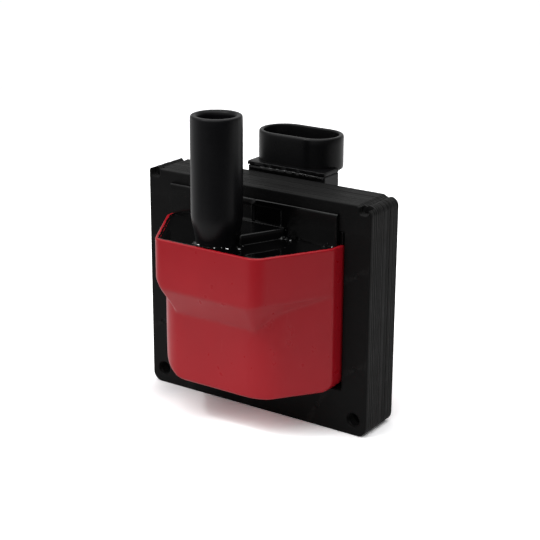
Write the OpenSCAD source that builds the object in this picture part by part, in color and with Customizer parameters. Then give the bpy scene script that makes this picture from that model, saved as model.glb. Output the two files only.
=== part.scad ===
// Remote-mount ignition coil with a laminated E-core and a potted cup.
// The origin is at the centre of the foot of the iron core, +Z is up,
// the high-voltage tower stands at the front (-Y) and the low-voltage
// connector at the rear (+Y). All lengths are in millimetres.

/* [Core] */
// Width of the iron core
core_w = 76; // [72:0.5:84]
// Height of the iron core
core_h = 67.5; // [65:0.5:72]
// Thickness of the lamination stack
core_t = 14.9; // [14:0.1:16]
// Width of each outer leg
leg_w = 8.4; // [7:0.2:8.4]
// Height of the bottom yoke
yoke_h = 12.8; // [11:0.1:13]
// Height of the top bar
bar_h = 8; // [7:0.5:8]
// Width of the centre leg
centre_leg_w = 16; // [14:0.5:16]
// Air gap between the centre leg and the top bar
air_gap = 0.8; // [0.4:0.1:1.2]
// Radius of the two bottom corners
foot_corner_r = 3; // [1:0.5:4]
// Radius of the top corner over the left leg
top_left_r = 0.8; // [0.4:0.1:2]
// Radius of the top corner over the right leg
top_right_r = 2.4; // [0.6:0.1:2.8]

/* [Mounting] */
// Diameter of the two mounting holes
hole_d = 4.2; // [3:0.1:5]
// Distance of each mounting hole from the side of the core
hole_in = 4.25; // [4:0.05:5]
// Height of the mounting holes above the foot
hole_z = 4.65; // [4:0.05:5.5]
// Width of the alignment notches in the top bar
notch_w = 3; // [2:0.1:4]
// Depth of the alignment notches
notch_d = 2.45; // [1:0.05:3]
// Distance of each notch centre from the side of the core
notch_in = 2.4; // [2.2:0.1:5]
// Length of the alignment notches, back from the front face
notch_l = 2.6; // [1:0.1:6]
// Width of the seam grooves that carry on behind the notches
seam_w = 2.2; // [1:0.1:3]
// Depth of the seam grooves
seam_d = 0.9; // [0.4:0.1:1.5]
// Distance of the left seam groove from the side of the core
seam_in_left = 2; // [1.8:0.1:4]
// Distance of the right seam groove from the side of the core
seam_in_right = 3.6; // [2:0.1:5]
// How far the right end of the bar lies below its top
horn_drop = 0.4; // [0.1:0.1:1]

/* [Housing] */
// Half width of the cup between the outer legs of the core
cup_hw = 29.1; // [28:0.1:29.3]
// Wall thickness of the cup
wall = 1.5; // [1.2:0.1:1.8]
// Height of the rim of the cup
rim_z = 55.4; // [54:0.1:57]
// How far the upper part of the cup stands out in front of the core
front_upper = 24.3; // [23:0.1:26]
// How far the lower part of the cup stands out in front of the core
front_lower = 20; // [19:0.1:21]
// How far the cup stands out behind the core
rear_depth = 17; // [16.5:0.1:19]
// Top of the sloping band in the front wall
band_top = 41; // [39:0.1:44]
// Bottom of the sloping band in the front wall
band_bottom = 33.2; // [31:0.1:36]
// Top of the sloping band on the left side facet
band_left = 43.6; // [41:0.1:45]
// Top of the sloping band on the right side facet
band_right = 41.8; // [41:0.1:45]
// Radius of the left vertical front corner of the upper part
corner_r_left = 3; // [1:0.1:4]
// Radius of the right vertical front corner of the upper part
corner_r_right = 5.5; // [3:0.1:6]
// Radius of the left vertical front corner of the lower part
corner_r_lower_left = 8; // [4:0.1:9]
// Radius of the right vertical front corner of the lower part
corner_r_lower_right = 13; // [6:0.1:18]
// Radius of the two bottom corners of the cup, seen from the front
elev_r = 4; // [3:0.1:5]
// Radius of the bottom edge under the left facet
facet_r_left = 6; // [2:0.1:6]
// Radius of the bottom edge under the right facet
facet_r_right = 1.6; // [1.6:0.1:3]
// Height of the cast resin
resin_z = 54.8; // [54:0.1:55]

/* [Tower] */
// Outer diameter of the high-voltage tower
tower_d = 14.4; // [14:0.1:15]
// Bore diameter of the high-voltage tower
tower_bore = 10.4; // [9.6:0.1:10.8]
// Height of the top of the tower
tower_z = 90.6; // [85:0.1:95]
// Sideways position of the tower
tower_x = -2; // [-4:0.1:2]
// Distance of the tower axis in front of the core
tower_front = 15.3; // [15:0.1:15.6]
// Diameter of the tower where it leaves the resin
tower_foot_d = 11.8; // [11:0.1:12.4]

/* [Connector] */
// Length of the oval shroud
shroud_l = 26.7; // [26:0.1:28]
// Width of the oval shroud
shroud_w = 15.4; // [14.8:0.1:15.8]
// Height of the rim of the shroud
shroud_z = 78.9; // [77:0.1:84]
// Sideways position of the shroud
shroud_x = -0.4; // [-1:0.1:1]
// Wall thickness of the shroud
shroud_wall = 1.4; // [1.2:0.1:1.8]
// Width of the neck behind the core
neck_w = 26.5; // [25:0.1:28]
// Thickness of the neck
neck_t = 7.9; // [7:0.1:9]
// Sideways position of the neck
neck_x = 0.4; // [-1:0.1:1]
// Spacing of the three terminals
pitch = 6; // [5.5:0.1:6.5]

/* [Windings] */
// Number of sections of the secondary winding
sections = 7; // [5:1:9]
// Number of raised turns drawn on the primary winding
primary_turns = 18; // [10:1:22]

/* [Hidden] */

$fn = 72;
eps = 0.01;
face = core_t / 2;                  // front and rear face of the core
bar_z = core_h - bar_h;             // underside of the top bar
win_x = core_w / 2 - leg_w;         // outer side of each window
leg_x = centre_leg_w / 2;           // side of the centre leg
strip_x = cup_hw - 0.3;             // cup: end of the side strip
strip_y = face + 3.6;
front_u = face + front_upper;       // cup: front faces
front_l = face + front_lower;
half_u = 17;                        // cup: half width of the front faces
half_l = 16.75;
// turn of the upper corner and the centre of its radius
facet_angle = atan2(front_u - strip_y, strip_x - half_u);
corner_u = [half_u - corner_r_right * tan(facet_angle / 2), corner_r_right - front_u];
rear_y = face + rear_depth;         // cup: rear face
half_r = 19.2;
floor_z = yoke_h;                   // the cup stands on the bottom yoke
band_slope = (band_top - band_bottom) / (front_upper - front_lower);
tun_ix = leg_x + 0.3;               // tunnel for the centre leg
tun_iy = face + 0.3;
tun_x = tun_ix + 1.4;
tun_y = tun_iy + 1.4;
tunnel_z = 57.2;
in_z = floor_z + wall;              // inner face of the floor
tower_y = -(face + tower_front);
pack_z = 52;                        // top of the windings
pack_x = 22.6;
pack_y = 22.05;
pack_r = 11;
sec_z = in_z + 1.3;                 // underside of the secondary bobbin
base_z = 52.4;                      // underside of tower and tower base
plateau_z = 57.9;
shelf_z = 55.5;
shield_z = 64.3;
shield_x = 28;
shield_left = 29.3;
shield_t = 1.2;
seat_z = 64;                        // bottom of the tower's bore
neck_z = 53.6;                      // underside of the neck
flange_z = 69.05;
deck_z = 70.25;                     // top of the connector's flange
shroud_y = face + 9.3;              // centre line of the shroud
neck_y = face + 3.25;
blade_z = 76.6;
blade_w = 2.8;
blade_t = 0.8;
tail_z = 52.4;                      // lower end of the blades

function unit(v) = v / norm(v);

// Points of an arc of radius r that rounds the corner b of the path a, b, c.
function fillet(a, b, c, r, n) =
    let (u = unit(a - b), w = unit(c - b), h = acos(u * w) / 2,
         o = b + unit(u + w) * r / sin(h),
         s = b + u * r / tan(h) - o, e = b + w * r / tan(h) - o,
         a0 = atan2(s.y, s.x), a1 = atan2(e.y, e.x),
         d = ((a1 - a0 + 540) % 360) - 180)
    [for (i = [0 : n]) o + r * [cos(a0 + d * i / n), sin(a0 + d * i / n)]];

// Outline through the points p, each corner rounded by its radius in r.
function rounded(p, r, n = 8) =
    let (k = len(p))
    [for (i = [0 : k - 1]) each (r[i] > 0
        ? fillet(p[(i + k - 1) % k], p[i], p[(i + 1) % k], r[i], n)
        : [p[i]])];

module rrect(hx, hy, r, n = 8)
    polygon(rounded([[-hx, -hy], [hx, -hy], [hx, hy], [-hx, hy]],
        [r, r, r, r], n));

// Rounded rectangular tube: hx, hy are half sizes inside, t the wall.
module rtube(hx, hy, r, t, z0, z1)
    translate([0, 0, z0]) linear_extrude(z1 - z0) difference() {
        rrect(hx + t, hy + t, r + t);
        rrect(hx, hy, r);
    }

module block(x0, x1, y0, y1, z0, z1)
    translate([x0, y0, z0]) cube([x1 - x0, y1 - y0, z1 - z0]);

// Extrudes an outline drawn in X and Z along Y, from y0 to y1.
module along_y(y0, y1)
    translate([0, y1, 0]) rotate([90, 0, 0]) linear_extrude(y1 - y0)
        children();

// Straight round wire between two points.
module wire(a, b, d)
    translate(a)
        rotate([0, acos((b - a).z / norm(b - a)), atan2((b - a).y, (b - a).x)])
            cylinder(d = d, h = norm(b - a), $fn = 24);

// ---- iron core ----

module weld_groove(s, r)
    translate([s * (core_w / 2 - leg_w / 2), face, bar_z])
        translate([0, 0, -4.5]) cylinder(r = r, h = 9, $fn = 32);

module core_e_laminations() color([0.07, 0.07, 0.075]) {
    difference() {
        along_y(-face, face) polygon(rounded(
            [[-core_w / 2, 0], [core_w / 2, 0], [core_w / 2, bar_z],
             [win_x, bar_z], [win_x, yoke_h], [leg_x, yoke_h],
             [leg_x, bar_z - air_gap], [-leg_x, bar_z - air_gap],
             [-leg_x, yoke_h], [-win_x, yoke_h], [-win_x, bar_z],
             [-core_w / 2, bar_z]],
            [foot_corner_r, foot_corner_r, 0, 0, 0.4, 0.2, 0, 0, 0.2, 0.4, 0, 0], 6));
        for (s = [-1, 1]) {
            translate([s * (core_w / 2 - hole_in), 0, hole_z]) rotate([90, 0, 0])
                cylinder(d = hole_d, h = core_t + 2, center = true);
            weld_groove(s, 1.1);
        }
        // shallow interlock marks of the stamping tool
        for (s = [-1, 1], p = [[core_w / 2 - leg_w / 2, 47.6],
                [core_w / 2 - leg_w / 2, 20], [21.7, yoke_h / 2], [0, yoke_h / 2]])
            translate([s * p.x, -face + 0.25, p.y]) rotate([90, 0, 0])
                cylinder(d = 1.8, h = 1, $fn = 32);
    }
}

module core_i_laminations() color([0.08, 0.08, 0.085]) {
    difference() {
        along_y(-face, face) polygon(rounded(
            [[-core_w / 2, bar_z], [core_w / 2, bar_z],
             [core_w / 2, core_h - horn_drop],
             [core_w / 2 - seam_in_right, core_h - horn_drop],
             [core_w / 2 - seam_in_right, core_h], [-core_w / 2, core_h]],
            [0, 0, top_right_r, 0, 0, top_left_r], 8));
        // notches in the front edge
        for (s = [-1, 1])
            along_y(-face - 1, -face + notch_l)
                translate([s * (core_w / 2 - notch_in), core_h])
                    polygon(rounded(
                        [[-notch_w / 2, 1], [-notch_w / 2, -notch_d],
                         [notch_w / 2, -notch_d], [notch_w / 2, 1]],
                        [0, 0.9, 0.9, 0], 5));
        // seam grooves across the top
        for (x = [seam_in_left - core_w / 2, core_w / 2 - seam_in_right])
            along_y(-face - 1, face + 1) translate([x, core_h])
                polygon([[-seam_w / 2 - 0.6, 0.5], [-0.3, -seam_d],
                    [0.3, -seam_d], [seam_w / 2 + 0.6, 0.5]]);
        for (s = [-1, 1]) weld_groove(s, 1.1);
    }
}

module core_gap_shim() color([0.75, 0.7, 0.5])
    block(-leg_x, leg_x, -face, face, bar_z - air_gap, bar_z);

module weld(s) color([0.1, 0.1, 0.105])
    intersection() {
        weld_groove(s, 1.1);
        block(-core_w, core_w, 0, face - 0.1, 0, core_h);
    }

module core_weld_left() weld(-1);
module core_weld_right() weld(1);

// ---- cup ----

module plan(front, half, rl, rr)
    polygon(rounded(
        [[-half, -front], [half, -front], [strip_x, -strip_y], [cup_hw, -face],
         [cup_hw, strip_y], [half_r, rear_y], [-half_r, rear_y],
         [-cup_hw, strip_y], [-cup_hw, -face], [-strip_x, -strip_y]],
        [rl, rr, 0.5, 0, 3, 5, 5, 3, 0, 0.5], 8));

// Slice of the cup's outline, drawn inwards by t.
module slice(upper, t)
    if (upper) offset(delta = -t) plan(front_u, half_u, corner_r_left, corner_r_right);
    else offset(delta = -t) plan(front_l, half_l, corner_r_lower_left, corner_r_lower_right);

// Corner of material outside a rounded bottom edge of radius r under a facet.
module edge_cut(s, r, t) {
    a = [s * strip_x, -strip_y];
    b = [s * half_l, -front_l];
    d = unit(b - a);
    n = s * [-d.y, d.x];
    m = (a + b) / 2 - n * t;
    translate([m.x, m.y, floor_z + t]) rotate([90, 0, atan2(n.y, n.x)])
        linear_extrude(48, center = true) difference() {
            translate([-r, -2]) square([r + 3, r + 2]);
            translate([-r, r]) circle(r, $fn = 48);
        }
}

// Material under a sloping plane that meets the line through a and b at the
// height z and falls towards the inside of the cup.
module under_cut(a, b, z, t) {
    d = unit(b - a);
    n = [-d.y, d.x];
    m = (a + b) / 2 - n * t;
    zt = z + t * (sqrt(1 + band_slope * band_slope) - band_slope);
    translate([m.x, m.y, zt]) rotate([90, 0, atan2(n.y, n.x)])
        linear_extrude(90, center = true) polygon(
            [[3, 3 * band_slope], [-9, -9 * band_slope], [3, -9 * band_slope - 2]]);
}

// Solid of the cup drawn inwards by t on every face, up to the height z.
module cup_solid(t, z)
    intersection() {
        difference() {
            union() {
                translate([0, 0, floor_z + t])
                    linear_extrude(z - floor_z - t) slice(false, t);
                difference() {
                    translate([0, 0, band_bottom - 3]) linear_extrude(z - band_bottom + 3)
                        slice(true, t);
                    under_cut([1, -front_u], [-1, -front_u], band_top, t);
                    under_cut([-half_u, -front_u], [-strip_x, -strip_y], band_left, t);
                    under_cut([strip_x, -strip_y], [half_u, -front_u], band_right, t);
                    // facets that round the corner between the two planes
                    for (k = [1 : 3]) {
                        g = k / 4 * facet_angle;
                        m = corner_u + corner_r_right * [sin(g), -cos(g)];
                        under_cut(m + [cos(g), sin(g)], m - [cos(g), sin(g)],
                            band_top + k / 4 * (band_right - band_top), t);
                    }
                }
            }
            edge_cut(-1, facet_r_left - t, t);
            if (facet_r_right > t) edge_cut(1, facet_r_right - t, t);
        }
        along_y(-60, 60) polygon(rounded(
            [[-cup_hw + t, floor_z + t], [cup_hw - t, floor_z + t],
             [cup_hw - t, z], [-cup_hw + t, z]],
            [elev_r - t, elev_r - t, 0, 0], 8));
    }

module housing() color([0.62, 0.13, 0.16])
    difference() {
        union() {
            difference() {
                cup_solid(0, rim_z);
                difference() {
                    cup_solid(wall, rim_z + 1);
                    block(-tun_x, tun_x, -tun_y, tun_y, 0, rim_z + 2);
                }
            }
            block(-tun_x, tun_x, -tun_y, tun_y, floor_z, tunnel_z);
        }
        block(-tun_ix, tun_ix, -tun_iy, tun_iy, 0, rim_z + 5);
    }

// ---- windings ----

module primary_bobbin() color([0.86, 0.84, 0.78])
    difference() {
        union() {
            rtube(tun_x + 0.2, tun_y + 0.2, 0.4, 0.9, in_z, pack_z - 0.6);
            rtube(tun_x + 0.2, tun_y + 0.2, 0.4, 4.3, in_z, in_z + 1.2);
            rtube(tun_x + 0.2, tun_y + 0.2, 0.4, 4.3, pack_z - 1.8, pack_z - 0.6);
        }
        // notches for the two ends of the wire
        for (s = [-1, 1])
            block(s * pitch + neck_x - 0.7, s * pitch + neck_x + 0.7,
                neck_y - 0.1, neck_y + 4, pack_z - 2.5, pack_z);
    }

pw_x = tun_x + 1.1;
pw_y = tun_y + 1.1;

module primary_winding() color([0.72, 0.36, 0.16]) {
    rtube(pw_x, pw_y, 1.3, 2.0, in_z + 1.2, pack_z - 1.8);
    h = (pack_z - 3.6 - in_z + 0.6) / primary_turns;
    for (i = [0 : primary_turns - 1])
        rtube(pw_x + 2.0 - eps, pw_y + 2.0 - eps, 3.3, 0.4,
            in_z + 1.2 + (i + 0.08) * h, in_z + 1.2 + (i + 0.92) * h);
}

module primary_wrap() color([0.85, 0.75, 0.4])
    rtube(pw_x + 2.5, pw_y + 2.5, 3.8, 0.4, in_z + 1.4, pack_z - 2);

sb_x = tun_x + 4.7;
sb_y = tun_y + 4.7;
sec_top = pack_z - 0.2;
rib = 0.8;
sec_h = (sec_top - sec_z - rib) / sections;

module secondary_bobbin() color([0.8, 0.8, 0.76])
    difference() {
        union() {
            rtube(sb_x, sb_y, 4.6, 1, sec_z, sec_top);
            for (i = [0 : sections])
                rtube(sb_x + 1 - eps, sb_y + 1 - eps, 5.6, pack_x - sb_x - 1.15,
                    sec_z + i * sec_h, sec_z + i * sec_h + rib);
        }
        // notch in the top rib for the grounded end of the wire
        block(neck_x - 0.8, neck_x + 0.8, sb_y + 6.6, sb_y + 9, sec_top - rib - eps,
            sec_top + 1);
    }

module secondary_winding() color([0.6, 0.28, 0.12])
    for (i = [0 : sections - 1])
        rtube(sb_x + 1, sb_y + 1, 5.6, 5.2,
            sec_z + i * sec_h + rib, sec_z + (i + 1) * sec_h);

module secondary_wrap() color([0.88, 0.8, 0.5])
    for (i = [0 : sections - 1])
        rtube(sb_x + 6.2, sb_y + 6.2, 10.8, 0.3,
            sec_z + i * sec_h + rib, sec_z + (i + 1) * sec_h);

// Room that the windings take up in the resin.
module pack_room() {
    translate([0, 0, in_z - eps]) linear_extrude(pack_z - in_z)
        rrect(tun_x + 4.6, tun_y + 4.6, 4.5);
    translate([0, 0, sec_z]) linear_extrude(pack_z - sec_z)
        rrect(pack_x, pack_y, pack_r);
}

// ---- leads ----

lead_z = sec_top - rib - sec_h / 2;

module hv_lead() color([0.75, 0.4, 0.2])
    union() {
        translate([tower_x, tower_y, lead_z]) cylinder(d = 1, h = base_z - lead_z, $fn = 24);
        translate([tower_x, tower_y, lead_z]) sphere(d = 1, $fn = 24);
        wire([tower_x, tower_y, lead_z], [tower_x, -(sb_y + 6.6), lead_z], 1);
    }

module primary_lead(s) color([0.75, 0.4, 0.2])
    translate([neck_x + s * pitch, neck_y + blade_t / 2 + 0.5, pack_z - 1.8])
        cylinder(d = 1, h = 1.8 + tail_z - pack_z + 0.9, $fn = 24);

module primary_lead_start() primary_lead(-1);
module primary_lead_finish() primary_lead(1);

module secondary_ground_lead() color([0.75, 0.4, 0.2])
    union() {
        z = tail_z + 0.5;
        wire([neck_x, neck_y + blade_t / 2, z], [neck_x, sb_y + 7.4, z], 0.8);
        translate([neck_x, sb_y + 7.4, z]) sphere(d = 0.8, $fn = 24);
        wire([neck_x, sb_y + 7.4, lead_z], [neck_x, sb_y + 7.4, z], 0.8);
        translate([neck_x, sb_y + 7.4, lead_z]) sphere(d = 0.8, $fn = 24);
        wire([neck_x, sb_y + 6.6, lead_z], [neck_x, sb_y + 7.4, lead_z], 0.8);
    }

// ---- top of the cup ----

module core_shield() color([0.05, 0.05, 0.055])
    difference() {
        union() {
            block(-shield_left, shield_x, -face - shield_t, -face, shelf_z, shield_z);
            // foot cast into the resin, inside the rim
            block(-cup_hw + wall + 0.3, cup_hw - wall - 0.3, -face - shield_t, -face,
                54, shelf_z + eps);
            // tongues under the top bar
            for (s = [-1, 1])
                block(min(s * (tun_x + 0.2), s * (cup_hw - wall - 0.3)),
                    max(s * (tun_x + 0.2), s * (cup_hw - wall - 0.3)),
                    -face - eps, face - 0.1, shelf_z, shelf_z + 1.2);
        }
        block(-tun_x - 0.1, tun_x + 0.1, -face - 3, 0, 50, tunnel_z + 0.1);
        // recessed panel with a centre rib
        for (s = [-1, 1])
            block(min(s * 0.4, s * 9.5), max(s * 0.4, s * 9.5),
                -face - shield_t - 1, -face - shield_t + 0.4, 58, 62.6);
        // small chamfer at the top right corner
        along_y(-face - shield_t - 1, -face + 1) polygon(
            [[shield_x - 0.7, shield_z + 0.1], [shield_x + 0.1, shield_z - 0.7],
             [shield_x + 0.1, shield_z + 0.1]]);
    }

// Outer shape of the tower from the foot z up.
module tower_outer(z, top)
    rotate_extrude() polygon(concat(
        [[0, z], [tower_foot_d / 2, z], [tower_foot_d / 2, resin_z - 0.3],
         [tower_foot_d / 2 + 0.35, 57.2], [tower_d / 2 - 0.25, 60.6],
         [tower_d / 2, 62.8], [tower_d / 2, top - 0.6]],
        [for (a = [15 : 15 : 90]) [tower_d / 2 - 0.6 + 0.6 * cos(a), top - 0.6 + 0.6 * sin(a)]],
        [[0, top]]));

module tower_base() color([0.04, 0.04, 0.045])
    difference() {
        union() {
            translate([0, 0, base_z]) linear_extrude(plateau_z - base_z) polygon(rounded(
                [[-10.9, -face - shield_t - 0.55], [11.7, -face - shield_t - 0.55],
                 [tower_x + 7.6, tower_y + 0.6], [tower_x - 7.6, tower_y + 0.6]],
                [0.4, 0.4, 0.6, 0.6], 4));
            // lip over the top of the tunnel's wall
            block(-10.4, 11.2, -face - shield_t - 0.7, -face - shield_t - 0.03,
                tunnel_z + 0.03, plateau_z);
        }
        translate([tower_x, tower_y, 0]) tower_outer(base_z - 1, 70);
    }

module hv_tower() color([0.06, 0.06, 0.065])
    translate([tower_x, tower_y, 0]) difference() {
        tower_outer(base_z, tower_z);
        translate([0, 0, seat_z]) cylinder(d = tower_bore, h = tower_z);
        translate([0, 0, tower_z - 0.5]) cylinder(d1 = tower_bore, d2 = tower_bore + 1.1, h = 0.55);
        translate([0, 0, base_z - 1]) cylinder(d = 3.2, h = seat_z);
    }

module hv_terminal() color([0.78, 0.62, 0.3])
    translate([tower_x, tower_y, 0]) rotate_extrude() polygon(
        [[0, base_z], [1.6, base_z], [1.6, seat_z], [3.1, seat_z],
         [3.1, seat_z + 1.1], [2.7, seat_z + 1.5], [2, seat_z + 1.5],
         [2, 71.4], [1.7, 72.4], [1, 73], [0, 73]]);

module potting_epoxy() color([0.02, 0.02, 0.022])
    difference() {
        intersection() {
            cup_solid(wall, rim_z);
            block(-60, 60, -60, 60, 0, resin_z);
        }
        block(-tun_x, tun_x, -tun_y, tun_y, 0, 70);
        pack_room();
        translate([tower_x, tower_y, 0]) tower_outer(base_z, 70);
        translate([0, 0, base_z]) linear_extrude(10) polygon(rounded(
            [[-10.9, -face - shield_t - 0.55], [11.7, -face - shield_t - 0.55],
             [tower_x + 7.6, tower_y + 0.6], [tower_x - 7.6, tower_y + 0.6]],
            [0.4, 0.4, 0.6, 0.6], 4));
        block(-cup_hw + wall + 0.3, cup_hw - wall - 0.3, -face - shield_t, -face, 54, 60);
        neck_solid(neck_z, 60);
        for (i = [-1, 0, 1]) blade(i);
        hv_lead();
        primary_lead(-1);
        primary_lead(1);
        secondary_ground_lead();
    }

// ---- connector ----

module stadium(l, w, n = 12)
    polygon(rounded([[-l / 2, -w / 2], [l / 2, -w / 2], [l / 2, w / 2], [-l / 2, w / 2]],
        [w / 2 - 0.02, w / 2 - 0.02, w / 2 - 0.02, w / 2 - 0.02], n));

module neck_solid(z0, z1)
    difference() {
        block(neck_x - neck_w / 2, neck_x + neck_w / 2, face, face + neck_t, z0, z1);
        block(-tun_x - 0.1, tun_x + 0.1, 0, tun_y + 0.1, 0, tunnel_z + 0.2);
    }

module connector_body() color([0.06, 0.06, 0.065])
    difference() {
        union() {
            neck_solid(neck_z, flange_z + eps);
            // flange
            block(neck_x - neck_w / 2 - 0.3, neck_x + neck_w / 2, face - 0.15,
                face + neck_t, flange_z, deck_z);
            translate([shroud_x, shroud_y, flange_z]) linear_extrude(shroud_z - 0.5 - flange_z)
                stadium(shroud_l, shroud_w);
            translate([shroud_x, shroud_y, shroud_z - 0.5 - eps]) linear_extrude(0.5 + eps)
                stadium(shroud_l - 0.6, shroud_w - 0.6);
            // gussets under the overhang
            for (s = [-1, 1])
                translate([neck_x + s * 9 - 0.8, 0, 0]) rotate([90, 0, 90])
                    linear_extrude(1.6) polygon(
                        [[face + neck_t - eps, 61], [face + neck_t - eps, flange_z + eps],
                         [shroud_y + shroud_w / 2 - 2.5, flange_z + eps]]);
            // latch ramp on the rear of the shroud
            translate([shroud_x - 3, 0, 0]) rotate([90, 0, 90]) linear_extrude(6) polygon(
                [[shroud_y + shroud_w / 2 - 0.2, 72.6], [shroud_y + shroud_w / 2 + 1.3, 74.4],
                 [shroud_y + shroud_w / 2 + 1.3, 75], [shroud_y + shroud_w / 2 - 0.2, 75]]);
        }
        translate([shroud_x, shroud_y, deck_z]) linear_extrude(20)
            stadium(shroud_l - 2 * shroud_wall, shroud_w - 2 * shroud_wall);
        for (i = [-1, 0, 1]) blade(i);
    }

// Flat terminal: tail in the neck, bend in the flange, blade in the shroud.
module blade(i) {
    x = neck_x + i * pitch;
    y1 = shroud_y;
    union() {
        block(x - blade_w / 2, x + blade_w / 2, neck_y - blade_t / 2, neck_y + blade_t / 2,
            tail_z, flange_z + 0.9);
        block(x - blade_w / 2, x + blade_w / 2, neck_y - blade_t / 2, y1 + blade_t / 2,
            flange_z + 0.3, flange_z + 0.9);
        block(x - blade_w / 2, x + blade_w / 2, y1 - blade_t / 2, y1 + blade_t / 2,
            flange_z + 0.3, blade_z - 0.8);
        translate([x, y1, 0]) rotate([90, 0, 0]) linear_extrude(blade_t, center = true)
            polygon([[-blade_w / 2, blade_z - 0.8 - eps], [blade_w / 2, blade_z - 0.8 - eps],
                [blade_w / 2 - 0.6, blade_z], [-blade_w / 2 + 0.6, blade_z]]);
    }
}

module terminal_a() color([0.8, 0.79, 0.74]) blade(-1);
module terminal_b() color([0.8, 0.79, 0.74]) blade(0);
module terminal_c() color([0.8, 0.79, 0.74]) blade(1);

core_e_laminations();
core_i_laminations();
core_gap_shim();
core_weld_left();
core_weld_right();
housing();
potting_epoxy();
core_shield();
tower_base();
hv_tower();
hv_terminal();
hv_lead();
primary_bobbin();
primary_winding();
primary_wrap();
secondary_bobbin();
secondary_winding();
secondary_wrap();
connector_body();
terminal_a();
terminal_b();
terminal_c();
primary_lead_start();
primary_lead_finish();
secondary_ground_lead();
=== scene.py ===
import math
import random

import bmesh
import bpy
import numpy as np
from mathutils import Matrix, Vector, noise
from mathutils.bvhtree import BVHTree
from mathutils.geometry import delaunay_2d_cdt

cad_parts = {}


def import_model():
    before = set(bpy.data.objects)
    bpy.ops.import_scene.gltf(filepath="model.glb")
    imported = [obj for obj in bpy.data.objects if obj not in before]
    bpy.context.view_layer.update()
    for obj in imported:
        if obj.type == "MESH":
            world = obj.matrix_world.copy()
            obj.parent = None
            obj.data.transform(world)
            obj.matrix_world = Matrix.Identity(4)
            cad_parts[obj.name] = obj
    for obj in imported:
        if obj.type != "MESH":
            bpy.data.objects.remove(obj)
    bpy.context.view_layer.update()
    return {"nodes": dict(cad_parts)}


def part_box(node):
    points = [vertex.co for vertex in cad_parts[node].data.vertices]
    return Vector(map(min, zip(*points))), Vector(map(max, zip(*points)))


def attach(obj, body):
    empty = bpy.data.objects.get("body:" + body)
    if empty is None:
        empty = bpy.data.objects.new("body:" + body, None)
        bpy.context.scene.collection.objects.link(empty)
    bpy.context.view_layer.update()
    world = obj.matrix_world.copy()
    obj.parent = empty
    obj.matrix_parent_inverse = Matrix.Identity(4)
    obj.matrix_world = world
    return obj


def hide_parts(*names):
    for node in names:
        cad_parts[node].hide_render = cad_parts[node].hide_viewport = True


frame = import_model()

# All shapes are written in millimetres in the row frame and scaled by MM when
# their mesh is made. Many places and sizes come from the CAD nodes' own boxes; the rest are given as numbers.
MM = 0.001
nodes = frame["nodes"]
scene = bpy.context.scene


def box(node):
    lo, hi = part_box(node)
    return np.array(lo) / MM, np.array(hi) / MM


# ------------------------------------------------------------------ camera

def make_camera():
    pos = Vector((220.54, -324.31, 172.02)) * MM
    aim = Vector((5.27, -7.43, 43.87)) * MM
    fwd = (aim - pos).normalized()
    right = fwd.cross(Vector((0, 0, 1))).normalized()
    up = right.cross(fwd)
    roll = math.radians(0.291)
    r = right * math.cos(roll) + up * math.sin(roll)
    u = up * math.cos(roll) - right * math.sin(roll)
    data = bpy.data.cameras.new("camera")
    data.sensor_width = 36
    data.lens = 94.78
    data.clip_start, data.clip_end = 0.01, 20
    cam = bpy.data.objects.new("camera", data)
    scene.collection.objects.link(cam)
    m = Matrix((r, u, -fwd)).transposed().to_4x4()
    m.translation = pos
    cam.matrix_world = m
    scene.camera = cam
    return fwd, r


CAM_FWD, CAM_RIGHT = make_camera()


# ------------------------------------------------------------------ nodes

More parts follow.
